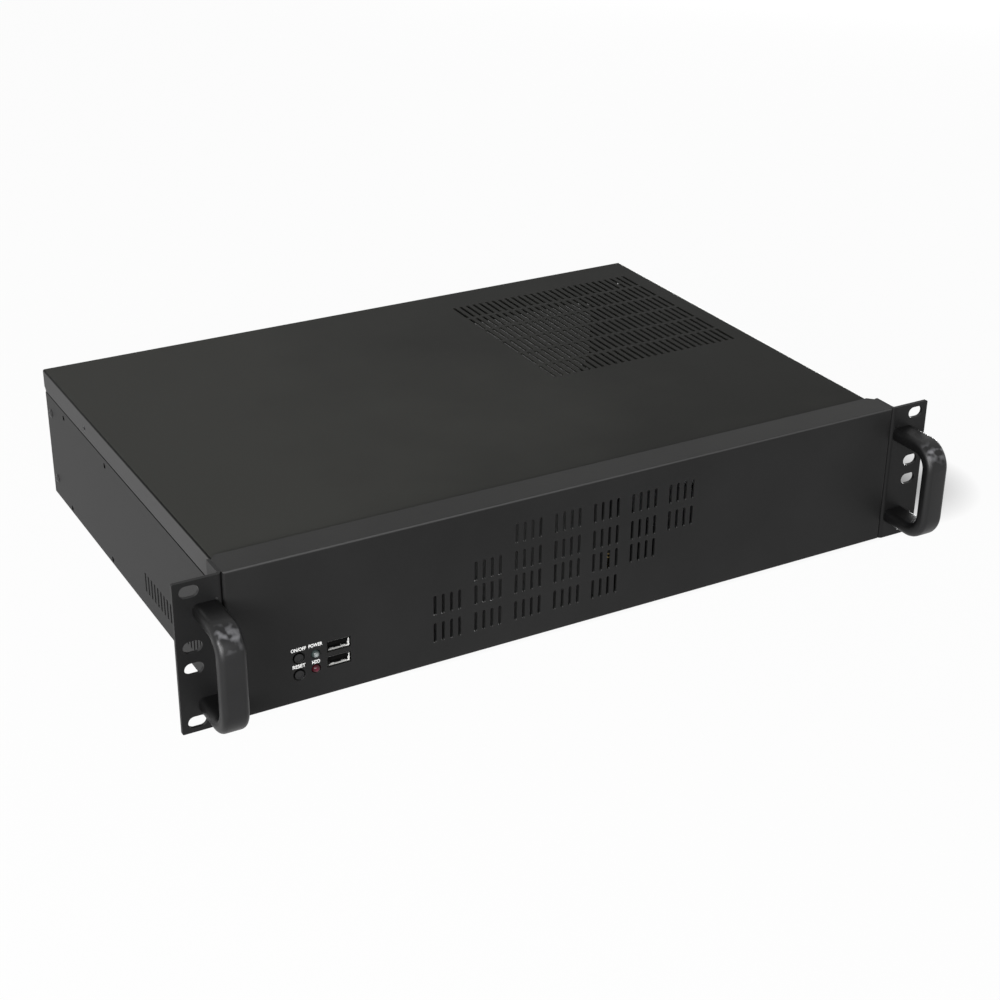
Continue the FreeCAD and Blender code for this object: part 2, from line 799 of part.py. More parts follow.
def makeSlotScrews():
    screws = []
    for x in slotX:
        top = rearTop + s.blankSheet
        head = rod((x, slotScrewY, top), "+Z", s.slotScrewHeadRadius, s.slotScrewHeadHeight)
        shank = rod((x, slotScrewY, top), "-Z", s.slotScrewRadius, s.blankSheet + s.sheetSteel * 3)
        screws.append(joined([head, shank]))
    setOf("slot_screws", screws)


def makeRivets():
    rivets = []
    for side, outwards, inwards in ((1, "+X", "-X"), (-1, "-X", "+X")):
        for z in (s.lowRivetHeight, s.highRivetHeight):
            place = (wallOutside * side, rivetY, z)
            dome = taper(place, outwards, s.rivetHeadRadius, s.rivetRadius, s.rivetHeadHeight)
            shank = rod(place, inwards, s.rivetRadius, s.sheetSteel * 4)
            rivets.append(joined([dome, shank]))
    setOf("rear_rivets", rivets)


# ---- front panel ---------------------------------------------------------------------------

def makeFrontPanel():
    """A tray over the case's front: face, top return over the cover, side and bottom returns."""
    body = newBody("front_panel")
    t = s.panelSheet
    back = earFront + s.panelReturn
    outline = sketchAcross(body, "Y", earFront)
    rectangle(outline, 0, 0, panelHalf * 2, s.earHeight)
    pad(body, outline, s.panelReturn, 1)
    hollow = sketchAcross(body, "Y", back)
    rectangle(hollow, 0, 0, (panelHalf - t) * 2, s.earHeight - t * 2)
    pocket(body, hollow, -1, s.panelReturn - t)
    trim = sketchAcross(body, "Y", back)
    rectangle(trim, 0, panelTop - t - s.earHeight, s.rackWidth, s.earHeight * 2)
    pocket(body, trim, -1, s.panelReturn - s.panelSideReturn)
    level = edgesAlong(body.Shape, "X", [(earFront, panelTop), (earFront, -panelTop)])
    upright = edgesAlong(body.Shape, "Z", [(panelHalf, earFront), (-panelHalf, earFront)])
    fillet(body, level + upright, s.panelBendRadius)
    rearCorners = edgesAlong(body.Shape, "Z", [(panelHalf, back), (-panelHalf, back)])
    chamfer(body, rearCorners, s.panelCornerCut)

    halfGroup = s.ventPitch * ((frontVentsInGroup - 1) / 2)
    for z, firstColumn, columns in frontVentRows:
        vent = sketchAcross(body, "Y", 0)
        first = s.frontVentMiddle + s.ventGroupPitch * firstColumn - halfGroup
        uprightSlot(vent, first, z, s.ventLength, s.ventWidth)
        cut = pocket(body, vent, -1)
        repeat(body, cut, "X", s.ventPitch, frontVentsInGroup, "X", s.ventGroupPitch, columns)

    controls = sketchAcross(body, "Y", 0)
    for z in (s.powerButtonZ, s.resetButtonZ):
        circle(controls, buttonX, z, s.buttonHoleRadius)
    for z in (s.powerLampZ, s.driveLampZ):
        circle(controls, lampX, z, s.lampHoleRadius)
    for z in (s.upperSocketZ, s.lowerSocketZ):
        rectangle(controls, socketX, z, s.socketWidth + s.socketGap * 2, s.socketHeight + s.socketGap * 2)
    pocket(body, controls, -1)

    holes = sketchAcross(body, "X", 0)
    for z in (-s.earScrewHeight, s.earScrewHeight):
        circle(holes, earScrewY, z, s.earScrewRadius + s.holeClearance)
    pocket(body, holes, 0)


# ---- rack ears, handles and their screws --------------------------------------------------------

def makeEar(name, side):
    """An L-bracket: a leg on the case's side and a flange with the rack slots."""
    body = newBody(name)
    legEnd = earFront + s.earLegDepth
    plan = sketchAcross(body, "Z", 0)
    outline = [
        (legInside, earFront), (halfRack, earFront), (halfRack, 0),
        (legOutside, 0), (legOutside, legEnd), (legInside, legEnd),
    ]
    polygon(plan, [(x * side, y) for x, y in outline])
    pad(body, plan, s.earHeight, 0)
    fillet(body, edgesAlong(body.Shape, "Z", [(legInside * side, earFront)]), s.earBendRadius)
    fillet(body, edgesAlong(body.Shape, "Z", [(legOutside * side, 0)]), s.earBendRadius - s.earSheet)
    corners = [(halfRack * side, panelTop), (halfRack * side, -panelTop)]
    fillet(body, edgesAlong(body.Shape, "Y", corners), s.earCornerRadius)

    slots = sketchAcross(body, "Y", 0)
    for half in (panelTop - s.outerSlotInset, s.innerSlotSpan / 2):
        for z in (-half, half):
            levelSlot(slots, (halfRack - s.rackSlotInset) * side, z, s.rackSlotLength, s.rackSlotWidth)
    circle(slots, (halfRack - s.toolingHoleInset) * side, s.toolingHoleHeight, s.toolingHoleRadius)
    pocket(body, slots, -1)

    screwHole = s.handleScrewRadius + s.holeClearance
    holes = sketchAcross(body, "Y", 0)
    for z in handleZ:
        circle(holes, handleX * side, z, screwHole)
    pocket(body, holes, -1)
    chamfer(body, rimsOf(body.Shape, "Y", 0, screwHole), s.handleScrewSink)

    leg = sketchAcross(body, "X", 0)
    for z in (-s.earScrewHeight, s.earScrewHeight):
        circle(leg, earScrewY, z, s.earScrewRadius + s.holeClearance)
    pocket(body, leg, side)


def makeHandle(name, side):
    """A bow handle swept along a bent path, with blind screw holes in its legs."""
    body = newBody(name)
    x = handleX * side
    low, high = handleZ
    bar = earFront - s.handleReach
    bend = s.handleBendRadius
    path = sketchAcross(body, "X", x)
    up = FreeCAD.Vector(0, 0, 1)
    lines = [
        ((earFront, low), (bar + bend, low)),
        ((bar, low + bend), (bar, high - bend)),
        ((bar + bend, high), (earFront, high)),
    ]
    quarter = math.pi / 2
    arcs = [
        ((bar + bend, low + bend), 2 * quarter, 3 * quarter),
        ((bar + bend, high - bend), quarter, 2 * quarter),
    ]
    for a, b in lines:
        path.addGeometry(Part.LineSegment(vector(*a), vector(*b)))
    for middle, start, end in arcs:
        disc = Part.Circle(vector(*middle), up, bend.number)
        path.addGeometry(Part.ArcOfCircle(disc, start, end))
    for i, (a, b) in enumerate(lines):
        holdPoint(path, i, 1, *a)
        holdPoint(path, i, 2, *b)
    for ends in ((0, 2, 3, 2), (3, 1, 1, 1), (1, 2, 4, 2), (4, 1, 2, 1)):
        path.addConstraint(Sketcher.Constraint("Coincident", *ends))
    hold(path, "Radius", (3,), bend)
    hold(path, "Radius", (4,), bend)
    section = sketchAcross(body, "Y", earFront)
    roundedRectangle(section, x, low, s.handleWidth, s.handleThickness, s.handleEdgeRadius)
    pipe = body.newObject("PartDesign::AdditivePipe", "Bow")
    pipe.Profile = section
    pipe.Spine = path
    pipe.Mode = "Standard"
    pipe.Transition = "Transformed"
    body.Tip = pipe
    doc.recompute()
    holes = sketchAcross(body, "Y", earFront)
    for z in handleZ:
        circle(holes, x, z, s.handleScrewRadius + s.holeClearance)
    pocket(body, holes, -1, s.handleScrewLength)


def makeHandleScrews():
    screws = []
    headRadius = s.handleScrewRadius + s.handleScrewSink
    for side in (-1, 1):
        for z in handleZ:
            place = (handleX * side, 0, z)
            head = taper(place, "-Y", headRadius, s.handleScrewRadius, s.handleScrewSink)
            shank = rod(place, "-Y", s.handleScrewRadius, s.handleScrewLength)
            screws.append(joined([head, shank]))
    setOf("handle_screws", screws)


def makeEarScrews():
    screws = []
    nuts = []
    for side, outwards, inwards in ((1, "+X", "-X"), (-1, "-X", "+X")):
        for z in (-s.earScrewHeight, s.earScrewHeight):
            place = (legOutside * side, earScrewY, z)
            reach = legOutside - wallInside + s.nutHeight
            head = rod(place, outwards, s.earScrewHeadRadius, s.earScrewHeadHeight)
            shank = rod(place, inwards, s.earScrewRadius, reach)
            screws.append(joined([head, shank]))
            seat = (wallInside * side, earScrewY, z)
            nut = rod(seat, inwards, s.nutRadius, s.nutHeight)
            bore = rod(seat, inwards, s.earScrewRadius + s.holeClearance, s.nutHeight)
            nuts.append(without(nut, bore))
    setOf("ear_screws", screws)
    setOf("clinch_nuts", nuts)


# ---- cover -----------------------------------------------------------------------------------

def makeCover():
    """Folded cover with flush side flanges, a rear flange and vents over the supply bay."""
    body = newBody("top_cover")
    t = s.sheetSteel
    coverFront = earFront + s.panelReturn - s.coverOverlap
    section = sketchAcross(body, "Y", coverFront)
    polygon(section, [
        (wallOutside, flangeBottom), (wallOutside, coverTop),
        (-wallOutside, coverTop), (-wallOutside, flangeBottom),
        (t - wallOutside, flangeBottom), (t - wallOutside, coverUnder),
        (wallOutside - t, coverUnder), (wallOutside - t, flangeBottom),
    ])
    pad(body, section, coverBack - coverFront, 1)
    flange = sketchAcross(body, "Y", coverBack)
    rectangle(flange, 0, coverTop - s.coverRearFlange / 2, wallOutside * 2, s.coverRearFlange)
    pad(body, flange, t, -1)
    corners = [(wallOutside, coverTop), (-wallOutside, coverTop)]
    fillet(body, edgesAlong(body.Shape, "Y", corners), s.bendRadius)
    notch = sketchAcross(body, "X", 0)
    low = flangeBottom - t
    high = coverTop - s.coverRearFlange
    polygon(notch, [
        (coverBack - s.coverNotch, low), (coverBack + t, low),
        (coverBack + t, high), (coverBack - t, high),
    ])
    pocket(body, notch, 0)

    vent = sketchAcross(body, "Z", coverTop)
    firstX = wallInside - s.coverVentInset - s.ventPitch * ((coverVentColumns - 1) / 2)
    firstY = caseBack - s.coverVentRearInset - s.coverVentPitch * ((coverVentRows - 1) / 2)
    rectangle(vent, firstX, firstY, s.ventWidth, s.coverVentLength)
    cut = pocket(body, vent, -1, t * 2)
    repeat(body, cut, "X", s.ventPitch, coverVentColumns, "Y", s.coverVentPitch, coverVentRows)

    screwHole = s.coverScrewRadius + s.holeClearance
    holes = sketchAcross(body, "X", 0)
    circle(holes, coverScrewY, coverScrewZ, screwHole)
    pocket(body, holes, 0)
    rims = []
    for side in (-1, 1):
        rims += rimsOf(body.Shape, "X", wallOutside * side, screwHole)
    chamfer(body, rims, s.coverScrewSink)


def makeCoverScrews():
    screws = []
    for side, inwards in ((1, "-X"), (-1, "+X")):
        place = (wallOutside * side, coverScrewY, coverScrewZ)
        headRadius = s.coverScrewRadius + s.coverScrewSink
        head = taper(place, inwards, headRadius, s.coverScrewRadius, s.coverScrewSink)
        shank = rod(place, inwards, s.coverScrewRadius, s.sheetSteel)
        screws.append(joined([head, shank]))
    setOf("cover_screws", screws)


# ---- inside ----------------------------------------------------------------------------------

def makeStandoffs():
    standoffs = []
    for x, y in boardHoles:
        post = doc.addObject("Part::Prism", "Post")
        post.Polygon = 6
        bind(post, "Circumradius", s.standoffRadius)
        bind(post, "Height", s.standoffHeight)
        placed(post, (x, y, floorTop), "+Z")
        stud = rod((x, y, floorUnder), "+Z", s.standoffBore, s.sheetSteel)
        bore = rod((x, y, floorTop + s.sheetSteel), "+Z", s.standoffBore, s.standoffHeight)
        standoffs.append(without(joined([post, stud]), bore))
    setOf("board_standoffs", standoffs)


def makeCage():
    """A U-shaped cage for one 3.5-inch drive on the floor behind the front panel."""
    body = newBody("drive_cage")
    t = s.cageWall
    inside = s.cageInside / 2
    base = floorTop
    top = base + s.cageHeight
    section = sketchAcross(body, "Y", s.cageFront)
    polygon(section, [
        (cageX - cageOutside, base), (cageX + cageOutside, base), (cageX + cageOutside, top),
        (cageX + inside, top), (cageX + inside, base + t), (cageX - inside, base + t),
        (cageX - inside, top), (cageX - cageOutside, top),
    ])
    pad(body, section, s.cageDepth, 1)
    corners = [(cageX - cageOutside, base), (cageX + cageOutside, base)]
    fillet(body, edgesAlong(body.Shape, "Y", corners), s.bendRadius)
    holes = sketchAcross(body, "X", 0)
    middle = s.cageFront + s.cageDepth / 2
    for y in (middle - s.cageHoleSpan / 2, middle + s.cageHoleSpan / 2):
        circle(holes, y, base + t + s.cageHoleHeight, s.bayDriveHoleRadius)
    pocket(body, holes, 1)
    floor = sketchAcross(body, "Z", 0)
    rectangle(floor, cageX, middle, s.cageWindow, s.cageWindow)
    for x, y in cageScrews:
        circle(floor, x, y, s.cageScrewRadius + s.holeClearance)
    pocket(body, floor, -1)


def makeCageScrews():
    screws = []
    for x, y in cageScrews:
        place = (x, y, floorTop + s.cageWall)
        head = rod(place, "+Z", s.cageScrewRadius * 2, s.cageWall)
        shank = rod(place, "-Z", s.cageScrewRadius, s.cageWall + s.sheetSteel)
        screws.append(joined([head, shank]))
    setOf("cage_screws", screws)


# ---- front connector board -------------------------------------------------------------------

ioBoardFront = earFront + s.socketLength
ioScrewX = [ioBoardX + side * (s.ioBoardWidth / 2 - s.ioScrewInset) for side in (-1, 1)]
ioScrewZ = [s.ioBoardZ + side * (s.ioBoardHeight / 2 - s.ioScrewInset) for side in (1, -1)]
ioPlaces = list(zip(ioScrewX, ioScrewZ))       # two opposite corners


def makeIoBoard():
    body = newBody("io_board")
    outline = sketchAcross(body, "Y", ioBoardFront)
    rectangle(outline, ioBoardX, s.ioBoardZ, s.ioBoardWidth, s.ioBoardHeight)
    for x, z in ioPlaces:
        circle(outline, x, z, s.ioScrewRadius + s.holeClearance)
    pad(body, outline, s.ioBoardSheet, 1)

    posts = []
    screws = []
    for x, z in ioPlaces:
        post = rod((x, panelBack, z), "+Y", s.ioStandoffRadius, ioBoardFront - panelBack)
        bore = rod((x, ioBoardFront, z), "-Y", s.ioScrewRadius + s.holeClearance, s.ioBoardSheet * 4)
        posts.append(without(post, bore))
        place = (x, ioBoardFront + s.ioBoardSheet, z)
        head = rod(place, "+Y", s.ioScrewHeadRadius, s.ioScrewHeadHeight)
        shank = rod(place, "-Y", s.ioScrewRadius, s.ioBoardSheet * 4)
        screws.append(joined([head, shank]))
    setOf("io_standoffs", posts)
    setOf("io_screws", screws)


def makeSocket(place, z):
    """A USB socket: a folded metal shell and a moulded insulator with its tongue."""
    shell = newBody(place + "_usb_shell")
    outline = sketchAcross(shell, "Y", earFront)
    rectangle(outline, socketX, z, s.socketWidth, s.socketHeight)
    rectangle(outline, socketX, z, s.socketWidth - s.socketShell * 2, s.socketHeight - s.socketShell * 2)
    pad(shell, outline, s.socketLength, 1)

    insert = newBody(place + "_usb_insert")
    width = s.socketWidth - (s.socketShell + s.slipGap) * 2
    height = s.socketHeight - (s.socketShell + s.slipGap) * 2
    block = sketchAcross(insert, "Y", ioBoardFront)
    rectangle(block, socketX, z, width, height)
    blockLength = s.socketLength - s.tongueLength - s.ioBoardSheet
    pad(insert, block, blockLength, -1)
    tongue = sketchAcross(insert, "Y", ioBoardFront)
    lift = s.socketHeight / 2 - s.socketShell - s.tongueHeight
    rectangle(tongue, socketX, z + lift, width - s.tongueHeight / 2, s.tongueHeight)
    pad(insert, tongue, blockLength + s.tongueLength, -1)


def makeButton(name, z):
    """A round cap that passes through the panel, with a retaining flange and a stem."""
    body = newBody(name + "_button")
    flangeFront = panelBack + s.panelGap
    stemEnd = ioBoardFront - s.switchDepth + s.panelGap
    cap = sketchAcross(body, "Y", earFront - s.buttonProud)
    circle(cap, buttonX, z, s.buttonRadius)
    pad(body, cap, flangeFront - earFront + s.buttonProud + s.buttonFlangeSheet, 1)
    flange = sketchAcross(body, "Y", flangeFront)
    circle(flange, buttonX, z, s.buttonFlangeRadius)
    pad(body, flange, s.buttonFlangeSheet, 1)
    stem = sketchAcross(body, "Y", flangeFront)
    circle(stem, buttonX, z, s.buttonStemRadius)
    pad(body, stem, stemEnd - flangeFront, 1)
    chamfer(body, rimsOf(body.Shape, "Y", earFront - s.buttonProud, s.buttonRadius), s.buttonProud)

    switch = newBody(name + "_switch")
    case = sketchAcross(switch, "Y", ioBoardFront)
    rectangle(case, buttonX, z, s.switchWidth, s.switchWidth)
    pad(switch, case, s.switchDepth, -1)
    well = sketchAcross(switch, "Y", ioBoardFront - s.switchDepth)
    circle(well, buttonX, z, s.buttonStemRadius + s.panelGap)
    pocket(switch, well, 1, s.buttonTravel + s.panelGap * 2)


def makeLamp(name, z):
    """A domed lamp with a base flange, and two leads to the board."""
    body = newBody(name)
    tip = earFront - s.lampProud
    end = tip + s.lampLength
    bulb = sketchAcross(body, "Y", tip)
    circle(bulb, lampX, z, s.lampRadius)
    pad(body, bulb, s.lampLength, 1)
    fillet(body, rimsOf(body.Shape, "Y", tip, s.lampRadius), s.lampRadius * lampRoundness)
    base = sketchAcross(body, "Y", end)
    circle(base, lampX, z, s.lampFlangeRadius)
    pad(body, base, s.lampFlangeSheet, -1)
    leads = sketchAcross(body, "Y", end)
    for side in (-1, 1):
        circle(leads, lampX + side * s.lampRadius / 2, z, s.lampLeadRadius)
    pad(body, leads, ioBoardFront - end, 1)


# ---- build --------------------------------------------------------------------------------------

makeTray()
makeRearPanel()
makeSlotFrame()
for number, x in enumerate(slotX, 1):
    makeBlank(number, x)
makeSlotScrews()
makeRivets()
makeFrontPanel()
makeEar("left_ear", -1)
makeEar("right_ear", 1)
makeHandle("left_handle", -1)
makeHandle("right_handle", 1)
makeHandleScrews()
makeEarScrews()
makeCover()
makeCoverScrews()
makeStandoffs()
makeCage()
makeCageScrews()
makeIoBoard()
makeSocket("upper", s.upperSocketZ)
makeSocket("lower", s.lowerSocketZ)
makeButton("power", s.powerButtonZ)
makeButton("reset", s.resetButtonZ)
makeLamp("power_led", s.powerLampZ)
makeLamp("drive_led", s.driveLampZ)
doc.recompute()

for thing in doc.Objects:
    if "Invalid" in thing.State or "Error" in thing.State:
        raise RuntimeError("%s in the document failed: %s" % (thing.Label, thing.State))
for label, thing in nodes.items():
    if thing.Shape.isNull() or not thing.Shape.isValid():
        raise RuntimeError("%s has no valid shape" % label)
for label, thing in nodes.items():
    thing.Shape.exportStep("parts/%s.step" % label)
    print(label, "%d solids, %.1f mm3" % (len(thing.Shape.Solids), thing.Shape.Volume))
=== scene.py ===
import math
import bmesh
import bpy
from mathutils import Matrix, Vector


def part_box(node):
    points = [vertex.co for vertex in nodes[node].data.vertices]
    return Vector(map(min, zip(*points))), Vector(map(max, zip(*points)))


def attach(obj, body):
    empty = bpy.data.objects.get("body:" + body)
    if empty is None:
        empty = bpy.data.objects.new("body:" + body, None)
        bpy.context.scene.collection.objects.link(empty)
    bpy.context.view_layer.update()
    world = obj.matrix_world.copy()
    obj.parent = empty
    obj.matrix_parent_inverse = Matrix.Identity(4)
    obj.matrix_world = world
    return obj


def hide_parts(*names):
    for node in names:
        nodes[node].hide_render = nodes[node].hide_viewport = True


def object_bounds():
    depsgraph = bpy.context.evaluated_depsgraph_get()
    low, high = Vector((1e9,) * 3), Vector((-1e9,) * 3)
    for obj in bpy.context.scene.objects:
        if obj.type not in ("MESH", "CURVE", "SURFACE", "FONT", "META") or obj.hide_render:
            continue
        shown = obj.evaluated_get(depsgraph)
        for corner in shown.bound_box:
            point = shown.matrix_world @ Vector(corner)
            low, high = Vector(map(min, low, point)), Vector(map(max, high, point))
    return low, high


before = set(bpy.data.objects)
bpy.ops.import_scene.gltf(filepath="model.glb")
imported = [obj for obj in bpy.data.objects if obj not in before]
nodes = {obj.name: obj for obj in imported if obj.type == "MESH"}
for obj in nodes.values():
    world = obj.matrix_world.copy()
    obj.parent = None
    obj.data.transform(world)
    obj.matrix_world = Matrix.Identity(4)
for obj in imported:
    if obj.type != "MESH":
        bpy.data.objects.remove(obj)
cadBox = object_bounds()
print("frame loaded:", len(nodes), "nodes")


# ---- shader tools: a finish is one material, a wire is one socket that can be reckoned with 

class Wire:
    def __init__(self, finish, socket):
        self.finish = finish
        self.socket = socket

    def maths(self, operation, first, second=0.0):
        return self.finish.node("ShaderNodeMath", {"operation": operation}, {0: first, 1: second})

    def __add__(self, other):
        return self.maths("ADD", self, other)

    def __sub__(self, other):
        return self.maths("SUBTRACT", self, other)

    def __mul__(self, other):
        return self.maths("MULTIPLY", self, other)

    def __rsub__(self, other):
        return self.maths("SUBTRACT", other, self)

    __radd__ = __add__
    __rmul__ = __mul__

    def orMore(self, other):                           # the greater of the two
        return self.maths("MAXIMUM", self, other)

    def beside(self, output):                          # another output of the same node
        return Wire(self.finish, self.socket.node.outputs[output])


class Finish:
    def __init__(self, name, **fixed):
        self.material = bpy.data.materials.new(name)
        self.material.use_nodes = True
        self.tree = self.material.node_tree
        self.shader = self.tree.nodes["Principled BSDF"]
        for socket, value in fixed.items():          # the same all over: set on the shader itself
            self.shader.inputs[socket.replace("_", " ")].default_value = value
        self.place = self.node("ShaderNodeTexCoord", {}, {}, "Object")
        self.facing = self.place.beside("Normal")

    def node(self, kind, settings, sockets, output=0):
        made = self.tree.nodes.new(kind)
        for key, value in settings.items():
            setattr(made, key, value)
        for key, value in sockets.items():
            if isinstance(value, Wire):
                self.tree.links.new(value.socket, made.inputs[key])
            else:
                made.inputs[key].default_value = value
        return Wire(self, made.outputs[output])

    def feed(self, socket, wire):
        self.tree.links.new(wire.socket, self.shader.inputs[socket])

    def noise(self, scale, detail=2.0, stretch=(1, 1, 1)):
        place = self.node("ShaderNodeMapping", {}, {"Vector": self.place, "Scale": stretch})
        return self.node("ShaderNodeTexNoise", {},
                         {"Vector": place, "Scale": scale, "Detail": detail}, "Fac")

    def cells(self, scale):
        return self.node("ShaderNodeTexVoronoi", {},
                         {"Vector": self.place, "Scale": scale}, "Distance")

    def ramp(self, wire, low, high):                   # 0 at low, 1 at high, held beyond them
        return self.node("ShaderNodeMapRange", {},
                         {"Value": wire, "From Min": low, "From Max": high}, "Result")

    def vectors(self, operation, first, second=(0, 0, 0), output=0):
        return self.node("ShaderNodeVectorMath", {"operation": operation},
                         {0: first, 1: second}, output)

    def mix(self, factor, first, second):
        return self.node("ShaderNodeMix", {"data_type": "RGBA"},
                         {0: factor, 6: (*first, 1) if isinstance(first, tuple) else first,
                          7: (*second, 1) if isinstance(second, tuple) else second}, 2)

    def edges(self, radius):                           # 1 along corners, 0 on flat sheet
        soft = self.node("ShaderNodeBevel", {"samples": 6}, {"Radius": radius})
        true = self.node("ShaderNodeNewGeometry", {}, {}, "True Normal")
        return self.ramp(self.vectors("DOT_PRODUCT", soft, true, "Value"), 0.995, 0.8)

    def folds(self):                                   # 1 on bends, 0 on faces square to the case
        square = self.vectors("MULTIPLY", self.facing, self.facing)
        return self.ramp(1 - self.vectors("DOT_PRODUCT", square, square, "Value"), 0.08, 0.3)

    def along(self, axis, vector):
        return self.node("ShaderNodeSeparateXYZ", {}, {"Vector": vector}, axis)

    def upward(self):                                  # 1 on faces that look up, 0 on upright ones
        return self.along("Z", self.facing)

    def bump(self, height, strength, distance):
        self.feed("Normal", self.node("ShaderNodeBump", {}, {
            "Height": height, "Strength": strength, "Distance": distance}))


# ---- materials ---------------------------------------------------------------

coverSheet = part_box("top_cover")[1].z - 0.001       # underside of the cover's sheet
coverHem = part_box("top_cover")[0].z                 # lower edge of the cover's flanges
powderCoats = {                                     # lighter level than upright colours are painted light from above; a darkPaintedFold is a painted shade line of near-black metal, other folds get a painted highlight
    "caseCoat": {"upright": (0.0098, 0.0098, 0.0098), "level": (0.0098, 0.0098, 0.0098),
                 "foldPaintedLight": 0.0008, "darkPaintedFold": True,
                 "roughness": 0.50, "grain": 0.35, "gloss": 0.12},
    "coverCoat": {"upright": (0.0170, 0.0167, 0.0170), "level": (0.0270, 0.0273, 0.0246),
                  "foldPaintedLight": 0.0008, "darkPaintedFold": True,
                  "roughness": 0.52, "grain": 0.35, "gloss": 0.045},
    "panelCoat": {"upright": (0.0083, 0.0083, 0.0083), "level": (0.0205, 0.0205, 0.0198),
                  "foldPaintedLight": 0.055, "darkPaintedFold": False,
                  "roughness": 0.50, "grain": 0.30, "gloss": 0.12},
    "earCoat": {"upright": (0.0050, 0.0050, 0.0051), "level": (0.0050, 0.0050, 0.0051),
                "foldPaintedLight": 0.02, "darkPaintedFold": False,
                "roughness": 0.46, "grain": 0.30, "gloss": 0.14},
}
powder = {"speck": 2600, "peel": 420, "cloud": 9,   # grains, orange peel, uneven film over a sheet
          "cornerBand": 0.0004, "relief": 0.00012,      # width of a corner band (wear and painted edge light), height of the grain
          "seamShadow": (0.0009, 0.0005),                 # below the cover's hem: where the painted seam shadow fades in
          "sheetEdge": (0.0004, 0.0002)}            # below and above the sheet's underside
coverFilm = {"flangeCoat": 0.40, "paintedFalloff": 1.6}      # glossier on the flanges; painted light, paler to the left


def toned(colour, factor, lift=0.0):
    return tuple(c * factor + lift for c in colour)


def powderCoat(name, upright, level, foldPaintedLight, darkPaintedFold, roughness, grain, gloss):
    paint = Finish(name, Specular_IOR_Level=gloss, IOR=1.5, Coat_Roughness=0.5)
    speck = paint.noise(powder["speck"], 1.0)
    peel = paint.noise(powder["peel"], 2.0)
    cloud = paint.noise(powder["cloud"], 3.0)
    cornerBand = paint.edges(powder["cornerBand"])             # corners: painted dark shade on the case and cover, wear with a painted highlight on the panel and ears
    upward = paint.upward()
    sideways = upward.beside("X")
    height = paint.along("Z", paint.place)
    fold = paint.folds()
    if not darkPaintedFold:
        fold = fold * paint.ramp(upward, 0.45, 0.75)   # painted highlight on the upper half of a bend
    if name == "caseCoat":                             # painted shadow: just under the cover's flange the side walls take the dark fold colour
        below, above = powder["seamShadow"]
        seamShadow = paint.ramp(height, coverHem - below, coverHem - above)
        fold = fold.orMore(seamShadow * paint.ramp(sideways * sideways, 0.7, 0.9))
    film = cloud * 0.7 + speck * 0.3
    roof = paint.ramp(upward, 0.5, 0.9)
    if name == "coverCoat":
        below, above = powder["sheetEdge"]
        # painted light: the film is paler towards -x, as if lit from that side
        film = film - height.beside("X") * coverFilm["paintedFalloff"]
        roof = roof.orMore(paint.ramp(height, coverSheet - below, coverSheet + above))
        paint.feed("Coat Weight", (1 - roof) * (1 - fold) * coverFilm["flangeCoat"])
    patchy = paint.ramp(film, 0.3, 0.7)
    # where level and upright colours differ (cover, panel), the lighter level faces are painted light
    # from above
    sides = paint.mix(patchy, toned(upright, 0.8), toned(upright, 1.35, 0.002))
    tops = paint.mix(patchy, toned(level, 0.6), toned(level, 1.4, 0.002))
    # bend colour: painted shade on the case and cover, painted highlight on the panel and ears
    bend = (foldPaintedLight, foldPaintedLight, foldPaintedLight)
    cornerWearAndPaintedLight = bend if darkPaintedFold else toned(upright, 2.2, 0.012)
    coated = paint.mix(cornerBand * 0.55, paint.mix(roof, sides, tops), cornerWearAndPaintedLight)
    paint.feed("Base Color", paint.mix(fold, coated, bend))
    if darkPaintedFold:
        paint.feed("Metallic", fold)                   # painted shade: dark folds are near-black metal, so they reflect little
    paint.feed("Roughness", roughness + (cloud - 0.5) * 0.08 + (speck - 0.5) * 0.1 - cornerBand * 0.1)
    paint.bump(speck * 0.55 + peel * 0.45, grain, powder["relief"])
    return paint.material


handlePaint = {"black": ((0.0042, 0.0042, 0.0044), (0.0072, 0.0072, 0.0075)),
               "legs": (0.0025, 0.0025, 0.0026), "bare": (0.21, 0.21, 0.22),
               "fine": 3200, "hammered": 300, "soft": 60, "relief": 0.00014}


def satinBlack():
    paint = Finish("satinBlack", Specular_IOR_Level=0.27)
    fine = paint.noise(handlePaint["fine"], 1.0)
    hammered = paint.noise(handlePaint["hammered"], 0.5)
    soft = paint.noise(handlePaint["soft"], 3.0)
    upward = paint.upward()
    forward = 0 - upward.beside("Y")
    bend = paint.ramp(upward, 0.25, 0.75) * paint.ramp(forward, 0.2, 0.6)
    bare = bend * paint.ramp(hammered + (soft - 0.5) * 0.4, 0.48, 0.82)       # painted highlight: bright metal spots on the upper bend
    # painted shade: faces that don't look forward take the darker colour
    painted = paint.mix(paint.ramp(forward, 0.35, 0.1), paint.mix(soft, *handlePaint["black"]),
                        handlePaint["legs"])
    paint.feed("Base Color", paint.mix(bare, painted, handlePaint["bare"]))
    paint.feed("Metallic", bare)
    paint.feed("Roughness", 0.42 + (fine - 0.5) * 0.08 - bend * 0.06)
    paint.bump(fine * 0.3 + hammered * bend * 0.7, 0.3, handlePaint["relief"])
    return paint.material


plate = {"spangle": 180, "drawn": 700, "dull": 25, "darker": 0.78, "relief": 0.00005}


